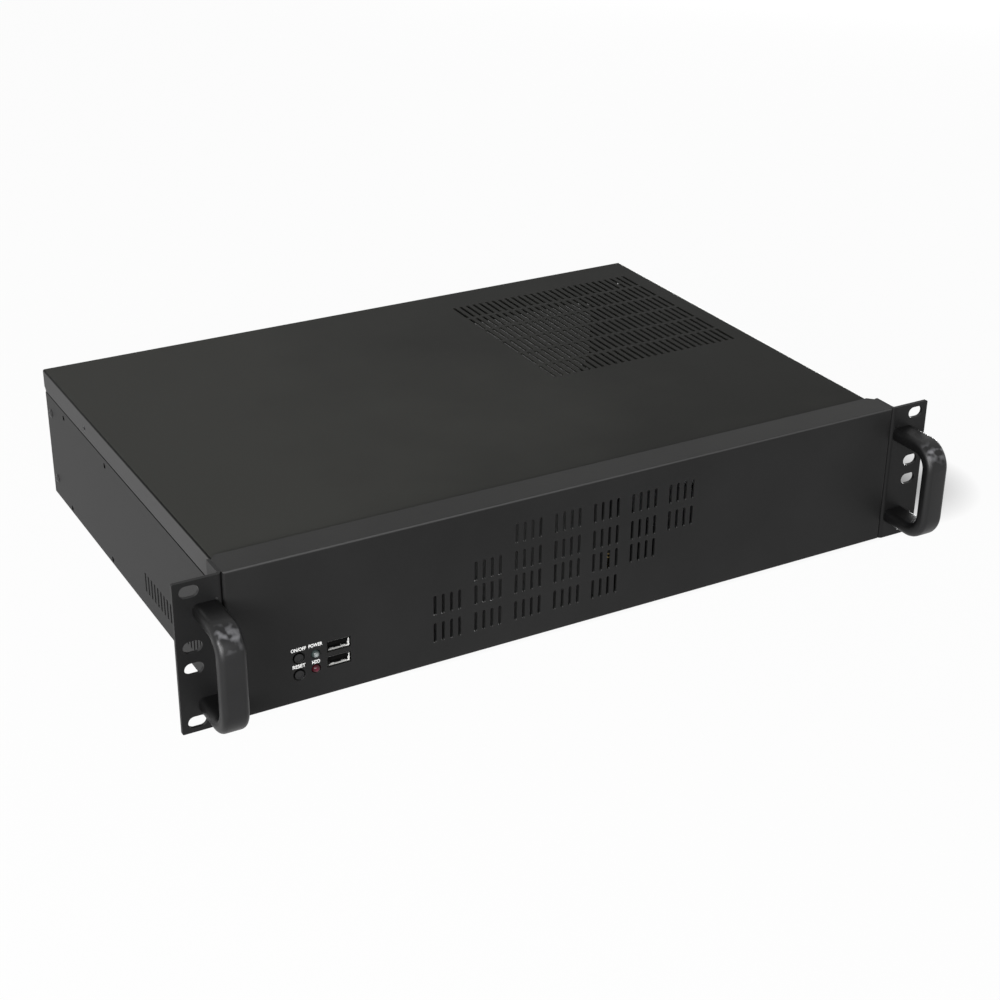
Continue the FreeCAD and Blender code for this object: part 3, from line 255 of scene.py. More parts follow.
def platedSteel(name, colour, roughness, stretch=(1, 1, 1)):
    metal = Finish(name)
    spangle = metal.cells(plate["spangle"])
    drawn = metal.noise(plate["drawn"], 3.0, stretch)
    dull = metal.noise(plate["dull"], 4.0)
    bright = metal.ramp(dull * 0.6 + spangle * 2.0 + drawn * 0.3, 0.3, 0.8)
    metal.feed("Base Color", metal.mix(bright, toned(colour, plate["darker"]), colour))
    metal.feed("Metallic", 1.0 - metal.ramp(dull, 0.62, 0.9) * 0.12)
    metal.feed("Roughness", roughness + (drawn - 0.5) * 0.18 + (dull - 0.5) * 0.1)
    metal.bump(drawn, 0.12, plate["relief"])
    return metal.material


blacking = {"dark": (0.012, 0.012, 0.013), "pale": (0.03, 0.03, 0.032), "bare": (0.16, 0.16, 0.165),
            "grain": 220, "cornerBand": 0.00025, "relief": 0.00006}


def blackenedSteel():
    metal = Finish("blackenedSteel")
    dull = metal.noise(blacking["grain"], 3.0)
    bare = metal.edges(blacking["cornerBand"])
    coated = metal.mix(dull, blacking["dark"], blacking["pale"])
    metal.feed("Base Color", metal.mix(bare * 0.4, coated, blacking["bare"]))
    metal.feed("Metallic", 0.55 + bare * 0.35)
    metal.feed("Roughness", 0.42 + (dull - 0.5) * 0.2)
    metal.bump(dull, 0.1, blacking["relief"])
    return metal.material


moulding = {"grain": 1800, "flow": 90, "rim": (0.001, 0.001, 0.001), "relief": 0.00006}


def mouldedPlastic(name, colour, roughness, gloss=0.2):
    plastic = Finish(name, Specular_IOR_Level=gloss)
    grain = plastic.noise(moulding["grain"], 2.0)
    flow = plastic.noise(moulding["flow"], 2.0)
    fold = plastic.folds()
    shade = plastic.mix(flow, colour, toned(colour, 1.4, 0.0005))
    plastic.feed("Base Color", plastic.mix(fold, shade, moulding["rim"]))
    plastic.feed("Metallic", fold)                     # painted shade: rounded rims take a near-black metal colour, so they stay dark
    plastic.feed("Roughness", roughness + (grain - 0.5) * 0.12)
    plastic.bump(grain, 0.12, moulding["relief"])
    return plastic.material


shellInsideShade = {"bright": (0.88, 0.88, 0.86), "dull": (0.004, 0.004, 0.004), "drawn": 700,
               "shadeFrom": (0.0030, 0.0036)}           # depth behind the mouth where the painted shade sets in


def shadedShellLining(mouth):                                # painted shade: bright at the mouth, dark further in, sooner on faces that look up
    metal = Finish("shadedShellLining", Metallic=0.3)
    drawn = metal.noise(shellInsideShade["drawn"], 3.0, (1, 0.1, 1))
    depth = metal.along("Y", metal.place) - mouth
    dull = metal.ramp(depth + drawn * 0.0004 + metal.upward() * 0.0013, *shellInsideShade["shadeFrom"])
    metal.feed("Base Color", metal.mix(dull, shellInsideShade["bright"], shellInsideShade["dull"]))
    metal.feed("Roughness", 0.45 + (drawn - 0.5) * 0.18)
    return metal.material


def solderMask():
    board = Finish("solderMask", IOR=1.5, Coat_Roughness=0.12)
    upright = board.node("ShaderNodeMapping", {},
                         {"Vector": board.place, "Rotation": (math.radians(90), 0, 0)})
    tracks = board.node("ShaderNodeTexBrick", {"offset": 0.37, "squash": 0.8}, {
        "Vector": upright, "Scale": 160.0, "Mortar Size": 0.06, "Mortar Smooth": 0.1}, "Fac")
    cloud = board.noise(120, 2.0)
    board.feed("Base Color", board.mix(tracks, (0.012, 0.075, 0.03), (0.02, 0.13, 0.055)))
    board.feed("Roughness", 0.32 + (cloud - 0.5) * 0.1)
    board.feed("Coat Weight", 0.3 + cloud * 0.3)
    board.bump(tracks, 0.3, 0.00006)
    return board.material


lensTint = {"core": 0.0006, "rim": 0.0019, "swirl": 900}     # radii at which the tint turns


def lampPlastic(name, rim, core, middle):
    lens = Finish(name, Specular_IOR_Level=0.2, Coat_Weight=0.08, Coat_Roughness=0.05, IOR=1.5)
    across = lens.vectors("MULTIPLY", lens.vectors("SUBTRACT", lens.place, middle), (1, 0, 1))
    radius = lens.vectors("LENGTH", across, output="Value")
    swirl = lens.noise(lensTint["swirl"], 2.0)
    tint = lens.ramp(radius + swirl * 0.0003, lensTint["core"], lensTint["rim"])
    lens.feed("Base Color", lens.mix(tint, core, rim))
    lens.feed("Roughness", 0.16 + swirl * 0.1)
    return lens.material


def printInk():
    ink = Finish("printInk")
    speck = ink.noise(2400, 2.0)
    ink.feed("Base Color", ink.mix(speck, (0.66, 0.66, 0.65), (0.86, 0.86, 0.85)))
    ink.feed("Roughness", 0.5 + (speck - 0.5) * 0.2)
    ink.bump(speck, 0.1, 0.00004)
    return ink.material


coats = {name: powderCoat(name, **values) for name, values in powderCoats.items()}
satin = satinBlack()
zinc = platedSteel("zincPlate", (0.52, 0.53, 0.55), 0.34, (1, 1, 0.12))
tinned = platedSteel("tinnedShell", (0.86, 0.86, 0.85), 0.42, (1, 0.1, 1))
# painted shade: the sockets' cut rim is near-black
shadedRim = platedSteel("shadedRim", (0.004, 0.004, 0.004), 0.6)
rivetMetal = platedSteel("rivetMetal", (0.055, 0.055, 0.056), 0.42)
brass = platedSteel("turnedBrass", (0.62, 0.45, 0.17), 0.28, (1, 1, 0.2))
gold = platedSteel("goldContact", (0.75, 0.55, 0.2), 0.25)
lining = shadedShellLining(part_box("upper_usb_shell")[0].y)
blackSteel = blackenedSteel()
blackPlastic = mouldedPlastic("blackPlastic", (0.002, 0.002, 0.002), 0.6, 0.02)
capPlastic = mouldedPlastic("capPlastic", (0.009, 0.009, 0.0092), 0.42)
greenBoard = solderMask()
ink = printInk()
print("materials made")


def middleOf(node):
    low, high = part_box(node)
    return (low + high) / 2


clearLens = lampPlastic("clearLens", (0.025, 0.035, 0.033), (0.27, 0.29, 0.285),
                        middleOf("power_led"))
redLens = lampPlastic("redLens", (0.03, 0.001, 0.004), (0.085, 0.006, 0.018),
                      middleOf("drive_led"))

nodeFinish = {
    "chassis_tray": coats["caseCoat"], "rear_panel": coats["caseCoat"],
    "slot_frame": coats["caseCoat"], "front_panel": coats["panelCoat"],
    "top_cover": coats["coverCoat"],
    "left_ear": coats["earCoat"], "right_ear": coats["earCoat"],
    "slot_cover_1": zinc, "slot_cover_2": zinc, "slot_cover_3": zinc, "slot_cover_4": zinc,
    "drive_cage": zinc, "clinch_nuts": zinc, "board_standoffs": brass, "io_standoffs": brass,
    "io_board": greenBoard, "upper_usb_shell": tinned, "lower_usb_shell": tinned,
    "upper_usb_insert": blackPlastic, "lower_usb_insert": blackPlastic,
    "power_switch": blackPlastic, "reset_switch": blackPlastic,
    "power_led": clearLens, "drive_led": redLens,
    "left_handle": satin, "right_handle": satin, "slot_screws": zinc, "rear_rivets": rivetMetal,
    "handle_screws": blackSteel, "ear_screws": blackSteel, "cover_screws": blackSteel,
    "cage_screws": zinc, "io_screws": zinc, "power_button": capPlastic, "reset_button": capPlastic,
}
for name, finish in nodeFinish.items():
    for materialSlot in nodes[name].material_slots:
        materialSlot.material = finish
    if not nodes[name].material_slots:
        nodes[name].data.materials.append(finish)


# ---- mesh tools --------------------------------------------------------------

crossTaper = 0.7                                       # floor of a driver's recess to its mouth
standUp = Matrix.Rotation(math.radians(90), 3, "X")  # stands a flat outline up, facing forward


def finishPiece(mesh, name, finish, body, replaced=(), smoothAngle=35):
    bmesh.ops.remove_doubles(mesh, verts=mesh.verts, dist=1e-6)
    bmesh.ops.recalc_face_normals(mesh, faces=mesh.faces)
    data = bpy.data.meshes.new(name)
    mesh.to_mesh(data)
    mesh.free()
    piece = bpy.data.objects.new(name, data)
    bpy.context.scene.collection.objects.link(piece)
    data.materials.append(finish)
    data.shade_smooth()
    data.set_sharp_from_angle(angle=math.radians(smoothAngle))
    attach(piece, body)
    if replaced:
        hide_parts(*replaced)
    return piece


def ringOut(mesh, edges, scale=1.0, move=(0, 0, 0)):   # grows a loop of edges into a band of faces
    grown = bmesh.ops.extrude_edge_only(mesh, edges=edges)["geom"]
    verts = [g for g in grown if isinstance(g, bmesh.types.BMVert)]
    bmesh.ops.scale(mesh, vec=(scale, scale, 1), verts=verts)
    bmesh.ops.translate(mesh, vec=move, verts=verts)
    wanted = set(verts)
    return [g for g in grown if isinstance(g, bmesh.types.BMEdge) and set(g.verts) <= wanted]


def turnRings(mesh, rings, steps, recess=None):        # a round piece from its radii and heights
    start = set(mesh.verts)
    radius, height = rings[0]
    circle = bmesh.ops.create_circle(mesh, cap_ends=recess is None, segments=steps,
                                     radius=radius)["verts"]
    bmesh.ops.translate(mesh, vec=(0, 0, height), verts=circle)
    loop = list({edge for vert in circle for edge in vert.link_edges})
    if recess:                                           # a cross for the driver
        grid = bmesh.ops.create_grid(mesh, x_segments=3, y_segments=3, size=recess["reach"])["verts"]
        bmesh.ops.translate(mesh, vec=(0, 0, height), verts=grid)
        squares = {face for vert in grid for face in vert.link_faces}
        third = recess["reach"] / 3
        middles = {face: face.calc_center_median() for face in squares}
        corners = [f for f in squares if min(abs(middles[f].x), abs(middles[f].y)) > third]
        cross = [f for f in squares if f not in corners]
        bmesh.ops.delete(mesh, geom=corners, context="FACES")
        outline = [edge for face in cross for edge in face.edges if edge.is_boundary]
        sunk = bmesh.ops.extrude_face_region(mesh, geom=cross)["geom"]
        floor = [g for g in sunk if isinstance(g, bmesh.types.BMVert)]
        bmesh.ops.scale(mesh, vec=(crossTaper, crossTaper, 1), verts=floor)
        bmesh.ops.translate(mesh, vec=(0, 0, -recess["depth"]), verts=floor)
        bmesh.ops.delete(mesh, geom=[f for f in cross if f.is_valid], context="FACES_ONLY")
        bmesh.ops.bridge_loops(mesh, edges=outline + loop)
    for nextRadius, nextHeight in rings[1:]:
        loop = ringOut(mesh, loop, nextRadius / radius, (0, 0, nextHeight - height))
        radius, height = nextRadius, nextHeight
    bmesh.ops.edgeloop_fill(mesh, edges=loop)
    return [vert for vert in mesh.verts if vert not in start]


def stand(mesh, verts, place, outward):                # sets a turned piece in place
    turn = Vector((0, 0, 1)).rotation_difference(Vector(outward)).to_matrix().to_4x4()
    bmesh.ops.transform(mesh, matrix=Matrix.Translation(place) @ turn, verts=verts)


# ---- bow handles -------------------------------------------------------------

bow = {"thickness": 0.0086, "bend": 0.012, "corner": 0.0032, "cornerSteps": 6, "bendSteps": 16}


def roundCorners(mesh, radius, steps):
    bmesh.ops.bevel(mesh, geom=mesh.verts[:], affect="VERTICES", offset=radius, offset_type="OFFSET",
                    segments=steps, profile=0.5, material=-1)


def bowHandle(node, name):
    low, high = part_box(node)
    half = bow["thickness"] / 2
    middleX = (low.x + high.x) / 2
    legEnd = low.y + half + bow["bend"]
    mesh = bmesh.new()
    bmesh.ops.create_grid(mesh, x_segments=1, y_segments=1, size=0.5)
    bmesh.ops.scale(mesh, vec=(high.x - low.x, bow["thickness"], 1), verts=mesh.verts)
    roundCorners(mesh, bow["corner"], bow["cornerSteps"])
    bmesh.ops.rotate(mesh, matrix=standUp, verts=mesh.verts)
    bmesh.ops.translate(mesh, vec=(middleX, high.y, low.z + half), verts=mesh.verts)
    lowBend = low.z + half + bow["bend"]
    highBend = high.z - half - bow["bend"]
    loop = ringOut(mesh, mesh.edges[:], 1, (0, legEnd - high.y, 0))
    loop = bendLoop(mesh, loop, (middleX, legEnd, lowBend))
    loop = ringOut(mesh, loop, 1, (0, 0, highBend - lowBend))
    loop = bendLoop(mesh, loop, (middleX, legEnd, highBend))
    loop = ringOut(mesh, loop, 1, (0, high.y - legEnd, 0))
    bmesh.ops.edgeloop_fill(mesh, edges=loop)
    return finishPiece(mesh, name, satin, "case", (node,), 50)


def bendLoop(mesh, loop, centre):
    verts = list({vert for edge in loop for vert in edge.verts})
    last = bmesh.ops.spin(mesh, geom=verts + loop, cent=centre, axis=(1, 0, 0), dvec=(0, 0, 0),
                          angle=math.radians(-90), steps=bow["bendSteps"],
                          use_merge=False, use_duplicate=False)
    return [g for g in last["geom_last"] if isinstance(g, bmesh.types.BMEdge)]


bowHandle("left_handle", "leftBow")
bowHandle("right_handle", "rightBow")
print("handles made")


# ---- screws and rivets -------------------------------------------------------

crossRecess = {"reach": 0.0011, "depth": 0.0007}


def panHead(radius, height, shank, length):
    return [(radius * 0.6, height), (radius * 0.82, height * 0.9), (radius * 0.95, height * 0.65),
            (radius, height * 0.3), (radius, 0), (shank, 0), (shank, -length)]


def flatHead(radius, sink, shank, length):
    return [(radius * 0.94, 0), (radius, -sink * 0.1), (shank, -sink), (shank, -length)]


def screwRows(node, inset):                            # outermost places of a group along X, Y and Z
    low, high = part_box(node)
    xs = (low.x + inset[0], high.x - inset[0])
    ys = (low.y + inset[1], high.y - inset[1])
    zs = (low.z + inset[2], high.z - inset[2])
    return xs, ys, zs


def fasten(node, name, finish, body, rings, places, recess=crossRecess, steps=24):
    mesh = bmesh.new()
    for place, outward in places:
        verts = turnRings(mesh, rings, steps, recess)
        stand(mesh, verts, place, outward)
    return finishPiece(mesh, name, finish, body, (node,))


earScrew = {"radius": 0.0038, "height": 0.0022, "shank": 0.002, "length": 0.007}
xs, ys, zs = screwRows("ear_screws", (earScrew["height"], earScrew["radius"], earScrew["radius"]))
places = [((x, ys[0], z), (math.copysign(1, x), 0, 0)) for x in xs for z in zs]
fasten("ear_screws", "earScrews", blackSteel, "case", panHead(*earScrew.values()),
       places, {"reach": 0.0017, "depth": 0.001})

handleScrew = {"radius": 0.0037, "sink": 0.0017, "shank": 0.002, "length": 0.010}
xs, ys, zs = screwRows("handle_screws", (handleScrew["radius"], 0, handleScrew["radius"]))
places = [((x, ys[1], z), (0, 1, 0)) for x in xs for z in zs]
fasten("handle_screws", "handleScrews", blackSteel, "case",
       flatHead(*handleScrew.values()), places, {"reach": 0.0018, "depth": 0.001})

coverScrew = {"radius": 0.0023, "sink": 0.0008, "shank": 0.0015, "length": 0.001}
low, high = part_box("cover_screws")
middle = middleOf("cover_screws")
places = [((x, middle.y, middle.z), (math.copysign(1, x), 0, 0)) for x in (low.x, high.x)]
fasten("cover_screws", "coverScrews", blackSteel, "cover",
       flatHead(*coverScrew.values()), places, {"reach": 0.0012, "depth": 0.0005})

slotScrew = {"radius": 0.003, "height": 0.002, "shank": 0.0016, "length": 0.0039}
low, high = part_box("slot_screws")
firstX = low.x + slotScrew["radius"]
slots = 4
step = (high.x - slotScrew["radius"] - firstX) / (slots - 1)
seat = high.z - slotScrew["height"]
places = [((firstX + step * i, (low.y + high.y) / 2, seat), (0, 0, 1)) for i in range(slots)]
fasten("slot_screws", "slotScrews", zinc, "case", panHead(*slotScrew.values()),
       places, {"reach": 0.0014, "depth": 0.0009})

cageScrew = {"radius": 0.003, "height": 0.0012, "shank": 0.0015, "length": 0.0022}
xs, ys, zs = screwRows("cage_screws",
                       (cageScrew["radius"], cageScrew["radius"], cageScrew["height"]))
places = [((x, y, zs[1]), (0, 0, 1)) for x in xs for y in ys]
fasten("cage_screws", "cageScrews", zinc, "case", panHead(*cageScrew.values()),
       places, {"reach": 0.0012, "depth": 0.0006})

boardScrew = {"radius": 0.0024, "height": 0.0016, "shank": 0.00125, "length": 0.0064}
xs, ys, zs = screwRows("io_screws",
                       (boardScrew["radius"], boardScrew["height"], boardScrew["radius"]))
places = [((xs[0], ys[1], zs[1]), (0, 1, 0)), ((xs[1], ys[1], zs[0]), (0, 1, 0))]
fasten("io_screws", "boardScrews", zinc, "case", panHead(*boardScrew.values()),
       places)

rivet = {"radius": 0.0028, "height": 0.0009, "shank": 0.0016, "length": 0.004}
radius, height, shank, length = rivet.values()
rivetRings = [(radius * 0.3, height * 0.55), (radius * 0.32, height), (radius * 0.6, height * 0.95),
              (radius * 0.85, height * 0.6), (radius, height * 0.12), (radius * 0.98, 0),
              (shank, 0), (shank, -length)]
xs, ys, zs = screwRows("rear_rivets", (height, radius, radius))
places = [((x, ys[0], z), (math.copysign(1, x), 0, 0)) for x in xs for z in zs]
fasten("rear_rivets", "rearRivets", rivetMetal, "case", rivetRings, places,
       None, 28)
print("screws and rivets made")


# ---- buttons and lamps -------------------------------------------------------

cap = {"radius": 0.0031, "edge": 0.0006, "dish": 0.0003, "flange": 0.0044, "flangeAt": 0.0018,
       "flangeSheet": 0.0008, "stem": 0.0016, "steps": 40}


def pressCap(node, name, body):
    low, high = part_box(node)
    place = ((low.x + high.x) / 2, low.y, (low.z + high.z) / 2)
    radius, edge, dish = cap["radius"], cap["edge"], cap["dish"]
    flangeEnd = cap["flangeAt"] + cap["flangeSheet"]
    rings = [(radius * 0.3, -dish), (radius * 0.6, -dish * 0.7), (radius - edge * 2, -dish * 0.1),
             (radius - edge * 1.4, 0), (radius - edge * 0.6, -edge * 0.2),
             (radius - edge * 0.15, -edge * 0.6), (radius, -edge * 1.2),
             (radius, -cap["flangeAt"]), (cap["flange"], -cap["flangeAt"]),
             (cap["flange"], -flangeEnd),
             (cap["stem"], -flangeEnd), (cap["stem"], low.y - high.y)]
    mesh = bmesh.new()
    stand(mesh, turnRings(mesh, rings, cap["steps"]), place, (0, -1, 0))
    return finishPiece(mesh, name, capPlastic, body, (node,))


lamp = {"radius": 0.00245, "domeSteps": 7, "flange": 0.0029, "flangeSheet": 0.001,
        "length": 0.0087, "lead": 0.0006, "leadGap": 0.00127, "steps": 36}


def lampLens(node, name, finish):
    low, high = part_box(node)
    place = Vector(((low.x + high.x) / 2, low.y, (low.z + high.z) / 2))
    radius = lamp["radius"]
    turns = [math.radians(90 * i / lamp["domeSteps"]) for i in range(1, lamp["domeSteps"] + 1)]
    rings = [(radius * math.sin(a), radius * (math.cos(a) - 1)) for a in turns]
    flangeFrom = lamp["flangeSheet"] - lamp["length"]
    rings += [(radius, flangeFrom), (lamp["flange"], flangeFrom), (lamp["flange"], -lamp["length"])]
    mesh = bmesh.new()
    stand(mesh, turnRings(mesh, rings, lamp["steps"]), place, (0, -1, 0))
    for side in (-1, 1):                                       # square leads down to the board
        lead = bmesh.ops.create_grid(mesh, x_segments=1, y_segments=1, size=lamp["lead"] / 2)["verts"]
        others = set(mesh.verts) - set(lead)
        edges = list({edge for vert in lead for edge in vert.link_edges})
        ends = ringOut(mesh, edges, 1, (0, 0, high.y - low.y - lamp["length"]))
        bmesh.ops.edgeloop_fill(mesh, edges=ends)
        made = [vert for vert in mesh.verts if vert not in others]
        bmesh.ops.rotate(mesh, matrix=Matrix.Rotation(math.radians(-90), 3, "X"), verts=made)
        start = place + Vector((side * lamp["leadGap"], lamp["length"], 0))
        bmesh.ops.translate(mesh, vec=start, verts=made)
    return finishPiece(mesh, name, finish, "case", (node,))


pressCap("power_button", "powerCap", "power_cap")
pressCap("reset_button", "resetCap", "reset_cap")
lampLens("power_led", "powerLens", clearLens)
lampLens("drive_led", "driveLens", redLens)
print("buttons and lamps made")


# ---- sockets -----------------------------------------------------------------

socket = {"setBack": 0.0004, "wall": 0.0005, "corner": 0.0006, "cornerSteps": 4, "rim": 0.0001,
          "spring": (0.0022, 0.0048), "springRise": 0.0002, "springSheet": 0.0002,
          "springFrom": 0.0045, "springLift": 0.0002,
          "contact": (0.001, 0.00012, 0.0072), "contactFrom": 0.0008, "contactSink": 0.0001,
          "contactAt": (-0.0035, -0.001, 0.001, 0.0035), "nose": (0.06, 0.7), "tongueDrop": 0.0019}


def socketShell(node, name):
    low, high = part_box(node)
    middle = middleOf(node)
    mesh = bmesh.new()
    bmesh.ops.create_grid(mesh, x_segments=1, y_segments=1, size=0.5)
    bmesh.ops.scale(mesh, vec=(high.x - low.x, high.z - low.z, 1), verts=mesh.verts)
    roundCorners(mesh, socket["corner"], socket["cornerSteps"])
    bmesh.ops.rotate(mesh, matrix=standUp, verts=mesh.verts)
    bmesh.ops.translate(mesh, vec=(middle.x, low.y + socket["setBack"], middle.z), verts=mesh.verts)
    outline = mesh.edges[:]
    face = mesh.faces[:]
    ringOut(mesh, outline, 1, (0, high.y - low.y - socket["setBack"], 0))
    bmesh.ops.delete(mesh, geom=face, context="FACES_ONLY")
    bmesh.ops.recalc_face_normals(mesh, faces=mesh.faces)
    bmesh.ops.solidify(mesh, geom=mesh.faces[:], thickness=socket["wall"])
    for side in (-1, 1):                               # leaf springs on the lower wall
        leaf = bmesh.ops.create_grid(mesh, x_segments=1, y_segments=6, size=0.5)["verts"]
        bmesh.ops.scale(mesh, vec=(*socket["spring"], 1), verts=leaf)
        for vert in leaf:
            vert.co.z = socket["springRise"] * math.cos(math.pi * vert.co.y / socket["spring"][1])
        faces = list({face for vert in leaf for face in vert.link_faces})
        sheet = bmesh.ops.solidify(mesh, geom=faces, thickness=socket["springSheet"])["geom"]
        verts = set(leaf) | {g for g in sheet if isinstance(g, bmesh.types.BMVert)}
        at = (middle.x + side * (high.x - low.x) / 4, low.y + socket["springFrom"],
              low.z + socket["wall"] + socket["springLift"])
        bmesh.ops.translate(mesh, vec=at, verts=list(verts))
    piece = finishPiece(mesh, name, tinned, "case", (node,))
    piece.data.materials.append(lining)
    piece.data.materials.append(shadedRim)
    for face in piece.data.polygons:
        outward = face.center - middle
        outward.y = 0
        if outward.dot(face.normal) < -1e-5:                   # faces inwards
            face.material_index = 1
        if face.center.y < low.y + socket["setBack"] + socket["rim"]:     # the cut front edge, painted dark as shade
            face.material_index = 2
    return piece


def socketContacts(node, name):
    low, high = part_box(node)
    width, thick, length = socket["contact"]
    noseBack, noseRise = socket["nose"]
    mesh = bmesh.new()
    for x in socket["contactAt"]:
        strip = bmesh.ops.create_cube(mesh, size=1)["verts"]
        bmesh.ops.scale(mesh, vec=(width, length, thick), verts=strip)
        nose = [v for v in strip if v.co.y < 0 and v.co.z < 0]
        bmesh.ops.translate(mesh, vec=(0, length * noseBack, thick * noseRise), verts=nose)
        at = ((low.x + high.x) / 2 + x, low.y + socket["contactFrom"] + length / 2,
              high.z - socket["tongueDrop"] + socket["contactSink"] - thick / 2)
        bmesh.ops.translate(mesh, vec=at, verts=strip)
    return finishPiece(mesh, name, gold, "case")


for level in ("upper", "lower"):
    socketShell(level + "_usb_shell", level + "Shell")
    socketContacts(level + "_usb_insert", level + "Contacts")
print("sockets made")


# ---- printed labels ----------------------------------------------------------

label = {"height": 0.0021, "proud": 0.00006, "bold": 0.022}
labels = [                         # words, the control under them, rise of the middle, width
    ("ON/OFF", "power_button", 0.0052, 0.0085),
    ("RESET", "reset_button", 0.0052, 0.0073),
    ("POWER", "power_led", 0.0056, 0.0079),
    ("HDD", "drive_led", 0.0043, 0.0045),
]


def printLabel(words, node, rise, width):
    curve = bpy.data.curves.new("words", "FONT")
    curve.body = words
    curve.extrude = 0.5
    curve.offset = label["bold"]
    writing = bpy.data.objects.new("words", curve)
    bpy.context.scene.collection.objects.link(writing)
    bpy.context.view_layer.update()
    settled = writing.evaluated_get(bpy.context.evaluated_depsgraph_get())
    data = bpy.data.meshes.new_from_object(settled)
    bpy.data.objects.remove(writing)
    mesh = bmesh.new()
    mesh.from_mesh(data)
    xs = [v.co.x for v in mesh.verts]
    ys = [v.co.y for v in mesh.verts]
    middle = Vector(((min(xs) + max(xs)) / 2, (min(ys) + max(ys)) / 2, 0))
    bmesh.ops.translate(mesh, vec=-middle, verts=mesh.verts)
    size = (width / (max(xs) - min(xs)), label["height"] / (max(ys) - min(ys)), label["proud"])
    bmesh.ops.scale(mesh, vec=size, verts=mesh.verts)
    bmesh.ops.rotate(mesh, matrix=standUp, verts=mesh.verts)
    control = middleOf(node)
    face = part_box("front_panel")[0].y
    bmesh.ops.translate(mesh, vec=(control.x, face, control.z + rise), verts=mesh.verts)
    return finishPiece(mesh, "label" + words.replace("/", ""), ink, "case")


for line in labels:
    printLabel(*line)
print("labels made")


# ---- floor, light and camera -------------------------------------------------

studio = {"floorSize": 12.0, "floorDrop": 0.0002, "background": 1.0, "ambient": 0.04,
          "whitening": 0.965, "floorShades": ((0.63, 0.63, 0.63), (0.66, 0.66, 0.66)),
          "shadeMiddle": (0.085, 0.25, 0), "shadeHalf": (0.185, 0.195, 1), "shadeFade": 0.06}
softboxes = {                                    # place, size, strength in watts
    "leftBox": ((-1.2, -0.8, 0.42), (0.8, 0.5), 29.0),
    "frontBox": ((-0.9, -2.3, 1.1), (1.4, 0.6), 48.0),
    "rearBox": ((1.35, 1.45, -0.008), (1.4, 0.06), 26.0),
}
lens = {"length": 67.5, "sensor": 36, "azimuth": -29.72, "elevation": 26.68, "roll": 0.68,
        "distance": 1.06705, "slide": (-0.04769, 0.06946), "aim": (0, -0.002, -0.044)}


def seesWhite(finish):                                 # camera, mirror and glass rays
    path = finish.node("ShaderNodeLightPath", {}, {}, "Is Camera Ray")
    return path.orMore(path.beside("Is Glossy Ray").orMore(path.beside("Is Transmission Ray")))


def fullShade(finish):          # 1 in a rounded zone behind and beside the case: no whitening there
    offset = finish.vectors("SUBTRACT", finish.place, studio["shadeMiddle"])
    across = finish.vectors("ABSOLUTE", offset)
    beyond = finish.vectors("MAXIMUM", finish.vectors("SUBTRACT", across, studio["shadeHalf"]))
    away = finish.vectors("LENGTH", beyond, output="Value")
    return finish.ramp(away, studio["shadeFade"], 0.0)


def layFloor():
    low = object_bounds()[0]
    mesh = bmesh.new()
    bmesh.ops.create_grid(mesh, x_segments=1, y_segments=1, size=studio["floorSize"] / 2)
    bmesh.ops.translate(mesh, vec=(0, 0, low.z - studio["floorDrop"]), verts=mesh.verts)
    data = bpy.data.meshes.new("floor")
    mesh.to_mesh(data)
    mesh.free()
    floor = bpy.data.objects.new("floor", data)
    bpy.context.scene.collection.objects.link(floor)
    matt = Finish("paleFloor", Roughness=0.9, Specular_IOR_Level=0.1)
    dapple = matt.noise(3, 2.0)
    matt.feed("Base Color", matt.mix(dapple, *studio["floorShades"]))
    glow = matt.node("ShaderNodeEmission", {}, {"Strength": studio["background"]}, "Emission")
    share = seesWhite(matt) * studio["whitening"] * (1 - fullShade(matt))
    plain = Wire(matt, matt.shader.outputs[0])
    mixed = matt.node("ShaderNodeMixShader", {}, {0: share, 1: plain, 2: glow})
    matt.tree.links.new(mixed.socket, matt.tree.nodes["Material Output"].inputs["Surface"])
    data.materials.append(matt.material)


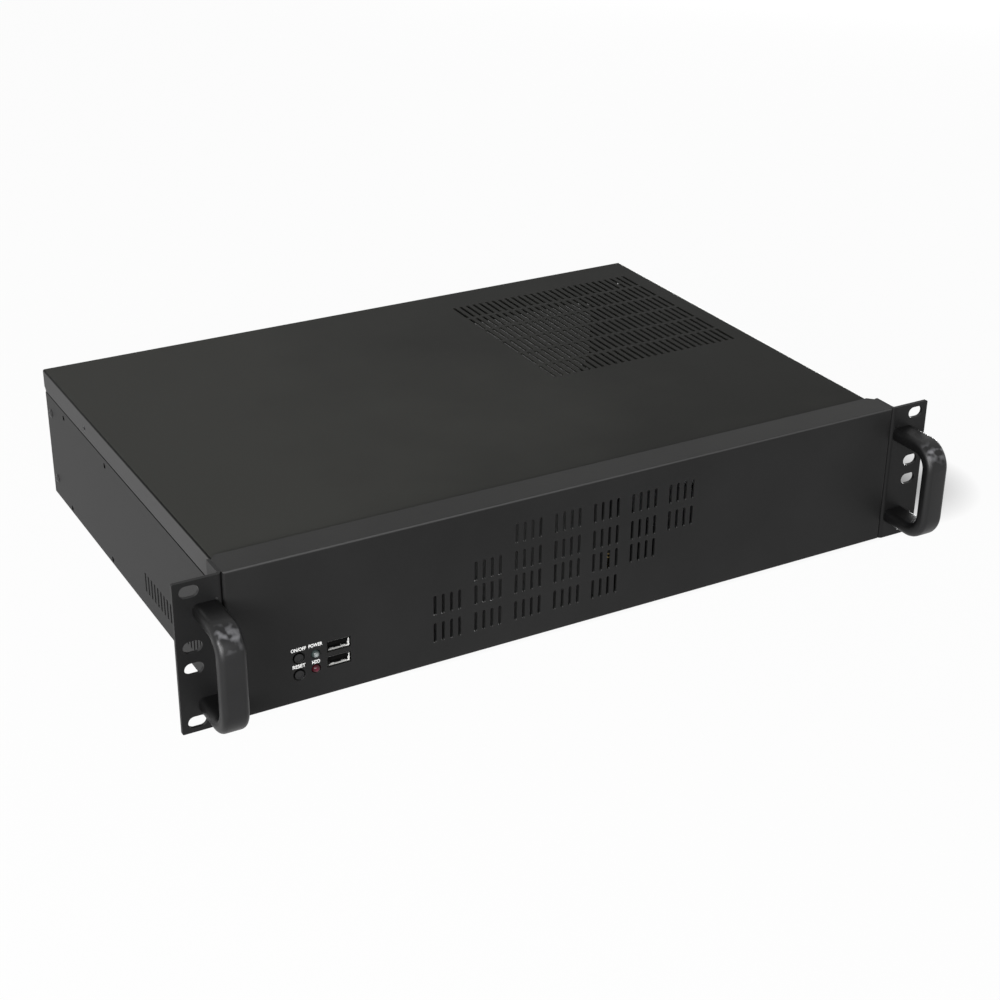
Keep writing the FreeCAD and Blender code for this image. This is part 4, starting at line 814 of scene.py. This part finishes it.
def lightWorld():
    world = bpy.data.worlds.new("studioWorld")
    world.use_nodes = True
    bpy.context.scene.world = world
    tree = world.node_tree
    path = tree.nodes.new("ShaderNodeLightPath")
    seen = path.outputs["Is Camera Ray"]
    for ray in ("Is Glossy Ray", "Is Transmission Ray"):
        either = tree.nodes.new("ShaderNodeMath")
        either.operation = "MAXIMUM"
        tree.links.new(seen, either.inputs[0])
        tree.links.new(path.outputs[ray], either.inputs[1])
        seen = either.outputs[0]
    strength = tree.nodes.new("ShaderNodeMapRange")
    strength.inputs["To Min"].default_value = studio["ambient"]
    strength.inputs["To Max"].default_value = studio["background"]
    tree.links.new(seen, strength.inputs["Value"])
    background = tree.nodes["Background"]
    background.inputs["Color"].default_value = (1, 1, 1, 1)
    tree.links.new(strength.outputs[0], background.inputs["Strength"])


def hangSoftboxes():
    middle = (cadBox[0] + cadBox[1]) / 2
    for name, (place, size, strength) in softboxes.items():
        light = bpy.data.lights.new(name, "AREA")
        light.shape = "RECTANGLE"
        light.size, light.size_y = size
        light.energy = strength
        box = bpy.data.objects.new(name, light)
        bpy.context.scene.collection.objects.link(box)
        towards = middle - Vector(place)
        box.location = place
        box.rotation_euler = towards.to_track_quat("-Z", "Y").to_euler()


def placeCamera():
    azimuth, elevation, roll = (math.radians(lens[k]) for k in ("azimuth", "elevation", "roll"))
    back = Vector((math.sin(azimuth) * math.cos(elevation),
                   -math.cos(azimuth) * math.cos(elevation), math.sin(elevation)))
    level = (-back).cross(Vector((0, 0, 1))).normalized()
    rise = level.cross(-back)
    right = level * math.cos(roll) + rise * math.sin(roll)
    up = rise * math.cos(roll) - level * math.sin(roll)
    data = bpy.data.cameras.new("camera")
    data.lens = lens["length"]
    data.sensor_width = lens["sensor"]
    camera = bpy.data.objects.new("camera", data)
    bpy.context.scene.collection.objects.link(camera)
    camera.matrix_world = Matrix((right, up, back)).transposed().to_4x4()
    slideRight, slideUp = lens["slide"]
    camera.location = (Vector(lens["aim"]) + back * lens["distance"]
                       + right * slideRight + up * slideUp)
    bpy.context.scene.camera = camera


layFloor()
lightWorld()
hangSoftboxes()
placeCamera()
bpy.context.scene.view_settings.view_transform = "Standard"
print("stage set")
